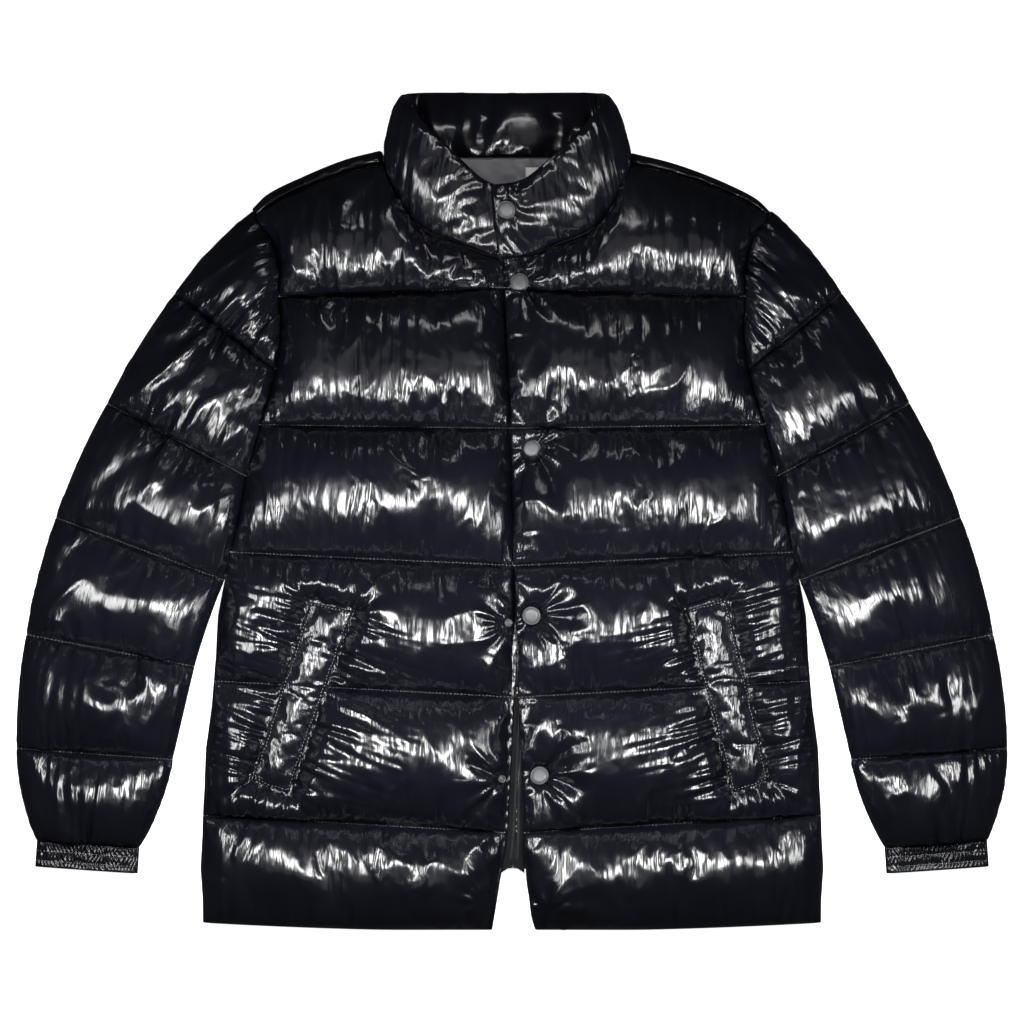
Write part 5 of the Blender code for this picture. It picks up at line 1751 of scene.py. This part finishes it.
for name, sign in (("right", -1), ("left", 1)):
    skip = UNDERLAP_STEPS if sign < 0 else 0
    front, sleeve = settled[f"front_{name}"], settled[f"sleeve_{name}"]
    lines = quilting(front, FRONT_STEPS, skip, None, sign)
    repeated(f"quilting_front_{name}", lines, "sewing_thread", **STITCH)
    lines = quilting(sleeve, SLEEVE_STEPS, SLEEVE_SKIP, SLEEVE_OVER - SLEEVE_SKIP)
    repeated(f"quilting_sleeve_{name}", lines, "sewing_thread", **STITCH)


# %% A row round each welt, and one on each row of elastic
def welt_outline(surface, inset):
    last_row, last_column = (count - 1 - inset for count in surface.shape[:2])
    ring = [
        *surface[inset, inset:last_column], *surface[inset:last_row, last_column],
        *surface[last_row, last_column:inset:-1], *surface[last_row:inset:-1, inset],
        surface[inset, inset],
    ]
    return [Vector(p) + STITCH_LIFT * 2 for p in ring]


for name in ("right", "left"):
    surface = settled[f"pocket_welt_{name}"]
    repeated(f"stitches_welt_{name}", [welt_outline(surface, 1)], "sewing_thread", **STITCH)
    rings = cuffs[f"cuff_{name}"][1]
    over = slice(CUFF_SKIP, CUFF_STEPS // 2 - CUFF_SKIP)
    rows = [rings[round(row * CUFF_ROWS)][over] for row in ELASTIC_ROWS[1:]]
    lines = [[Vector(p) + STITCH_LIFT for p in row] for row in rows]
    repeated(f"stitches_cuff_{name}", lines, "sewing_thread", **STITCH)

# %% [markdown]
# ## Floor, light and camera
# A wet-look black shows almost nothing of itself: what we see are the images of the lamps, drawn out
# along its folds. So there are a few soft lamps with dark between them, each a small bright panel
# in the middle of a wide dim one, and the pale floor gives the outline.


# %% The floor
def pale_floor():
    r = Recipe("pale_floor", {"Specular IOR Level": 0.2, "Emission Strength": 1.0,
                              "Emission Color": (1, 1, 1, 1)})
    where = r.place()
    patches = r.noise(where, 2.0, 2.0)
    return r.finish({
        "Base Color": r.blend(patches, (0.86, 0.86, 0.86), (0.89, 0.89, 0.89)),
        "Roughness": 0.75 + 0.1 * patches,
    })


bpy.ops.mesh.primitive_plane_add(size=14, location=(0, 0, 0))
floor = bpy.context.active_object
floor.name = "floor"
floor.data.materials.append(pale_floor())
floor.visible_glossy = False
floor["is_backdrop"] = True


# %% Soft panels of light
LAMP_HEIGHT, INNER_X, SIDE_X, WORLD_STRENGTH = 0.45, 0.15, 0.45, 0.03


def light_panel(name, place, size, watts):
    """An oval lamp that looks straight down."""
    lamp = bpy.data.lights.new(name, "AREA")
    lamp.shape, lamp.size, lamp.size_y, lamp.energy = "ELLIPSE", *size, watts
    panel = linked(name, lamp)
    panel.location = place
    panel.rotation_euler = Vector((0, 0, place[2])).to_track_quat("Z", "Y").to_euler()


for x in (-INNER_X, INNER_X):
    light_panel("key", (x, -0.11, LAMP_HEIGHT), (0.12, 0.17), 2.4)
    light_panel("glow", (x, -0.11, LAMP_HEIGHT), (0.24, 0.24), 0.85)
for x in (-SIDE_X, SIDE_X):
    light_panel("side key", (x, -0.10, LAMP_HEIGHT), (0.10, 0.26), 1.8)
    light_panel("side glow", (x, -0.06, LAMP_HEIGHT), (0.24, 0.24), 0.9)
light_panel("collar lamp", (0, 0.35, 0.25), (0.24, 0.035), 0.22)
light_panel("ceiling", (0, -0.05, 1.8), (1.4, 0.9), 1.5)

world = bpy.data.worlds.new("studio")
world.use_nodes = True
world.node_tree.nodes["Background"].inputs["Color"].default_value = (1, 1, 1, 1)
world.node_tree.nodes["Background"].inputs["Strength"].default_value = WORLD_STRENGTH
bpy.context.scene.world = world
bpy.context.scene.view_settings.view_transform = "Standard"

# %% A long lens straight above
CAMERA_HEIGHT, CAMERA_Y, VIEW_WIDTH, VIEW_LEVEL = 7.0, -0.0009, 0.9216, 0.025
lens = bpy.data.cameras.new("above")
lens.sensor_width = 36
lens.lens = lens.sensor_width * (CAMERA_HEIGHT - VIEW_LEVEL) / VIEW_WIDTH
camera = linked("above", lens)
camera.location = (0, CAMERA_Y, CAMERA_HEIGHT)
bpy.context.scene.camera = camera
print(f"lens {lens.lens:.0f} mm")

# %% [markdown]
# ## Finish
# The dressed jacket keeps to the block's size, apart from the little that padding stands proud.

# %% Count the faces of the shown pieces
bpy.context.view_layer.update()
faces = sum(len(piece.data.polygons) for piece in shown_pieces() if piece.type == "MESH")
print("faces in all:", faces)
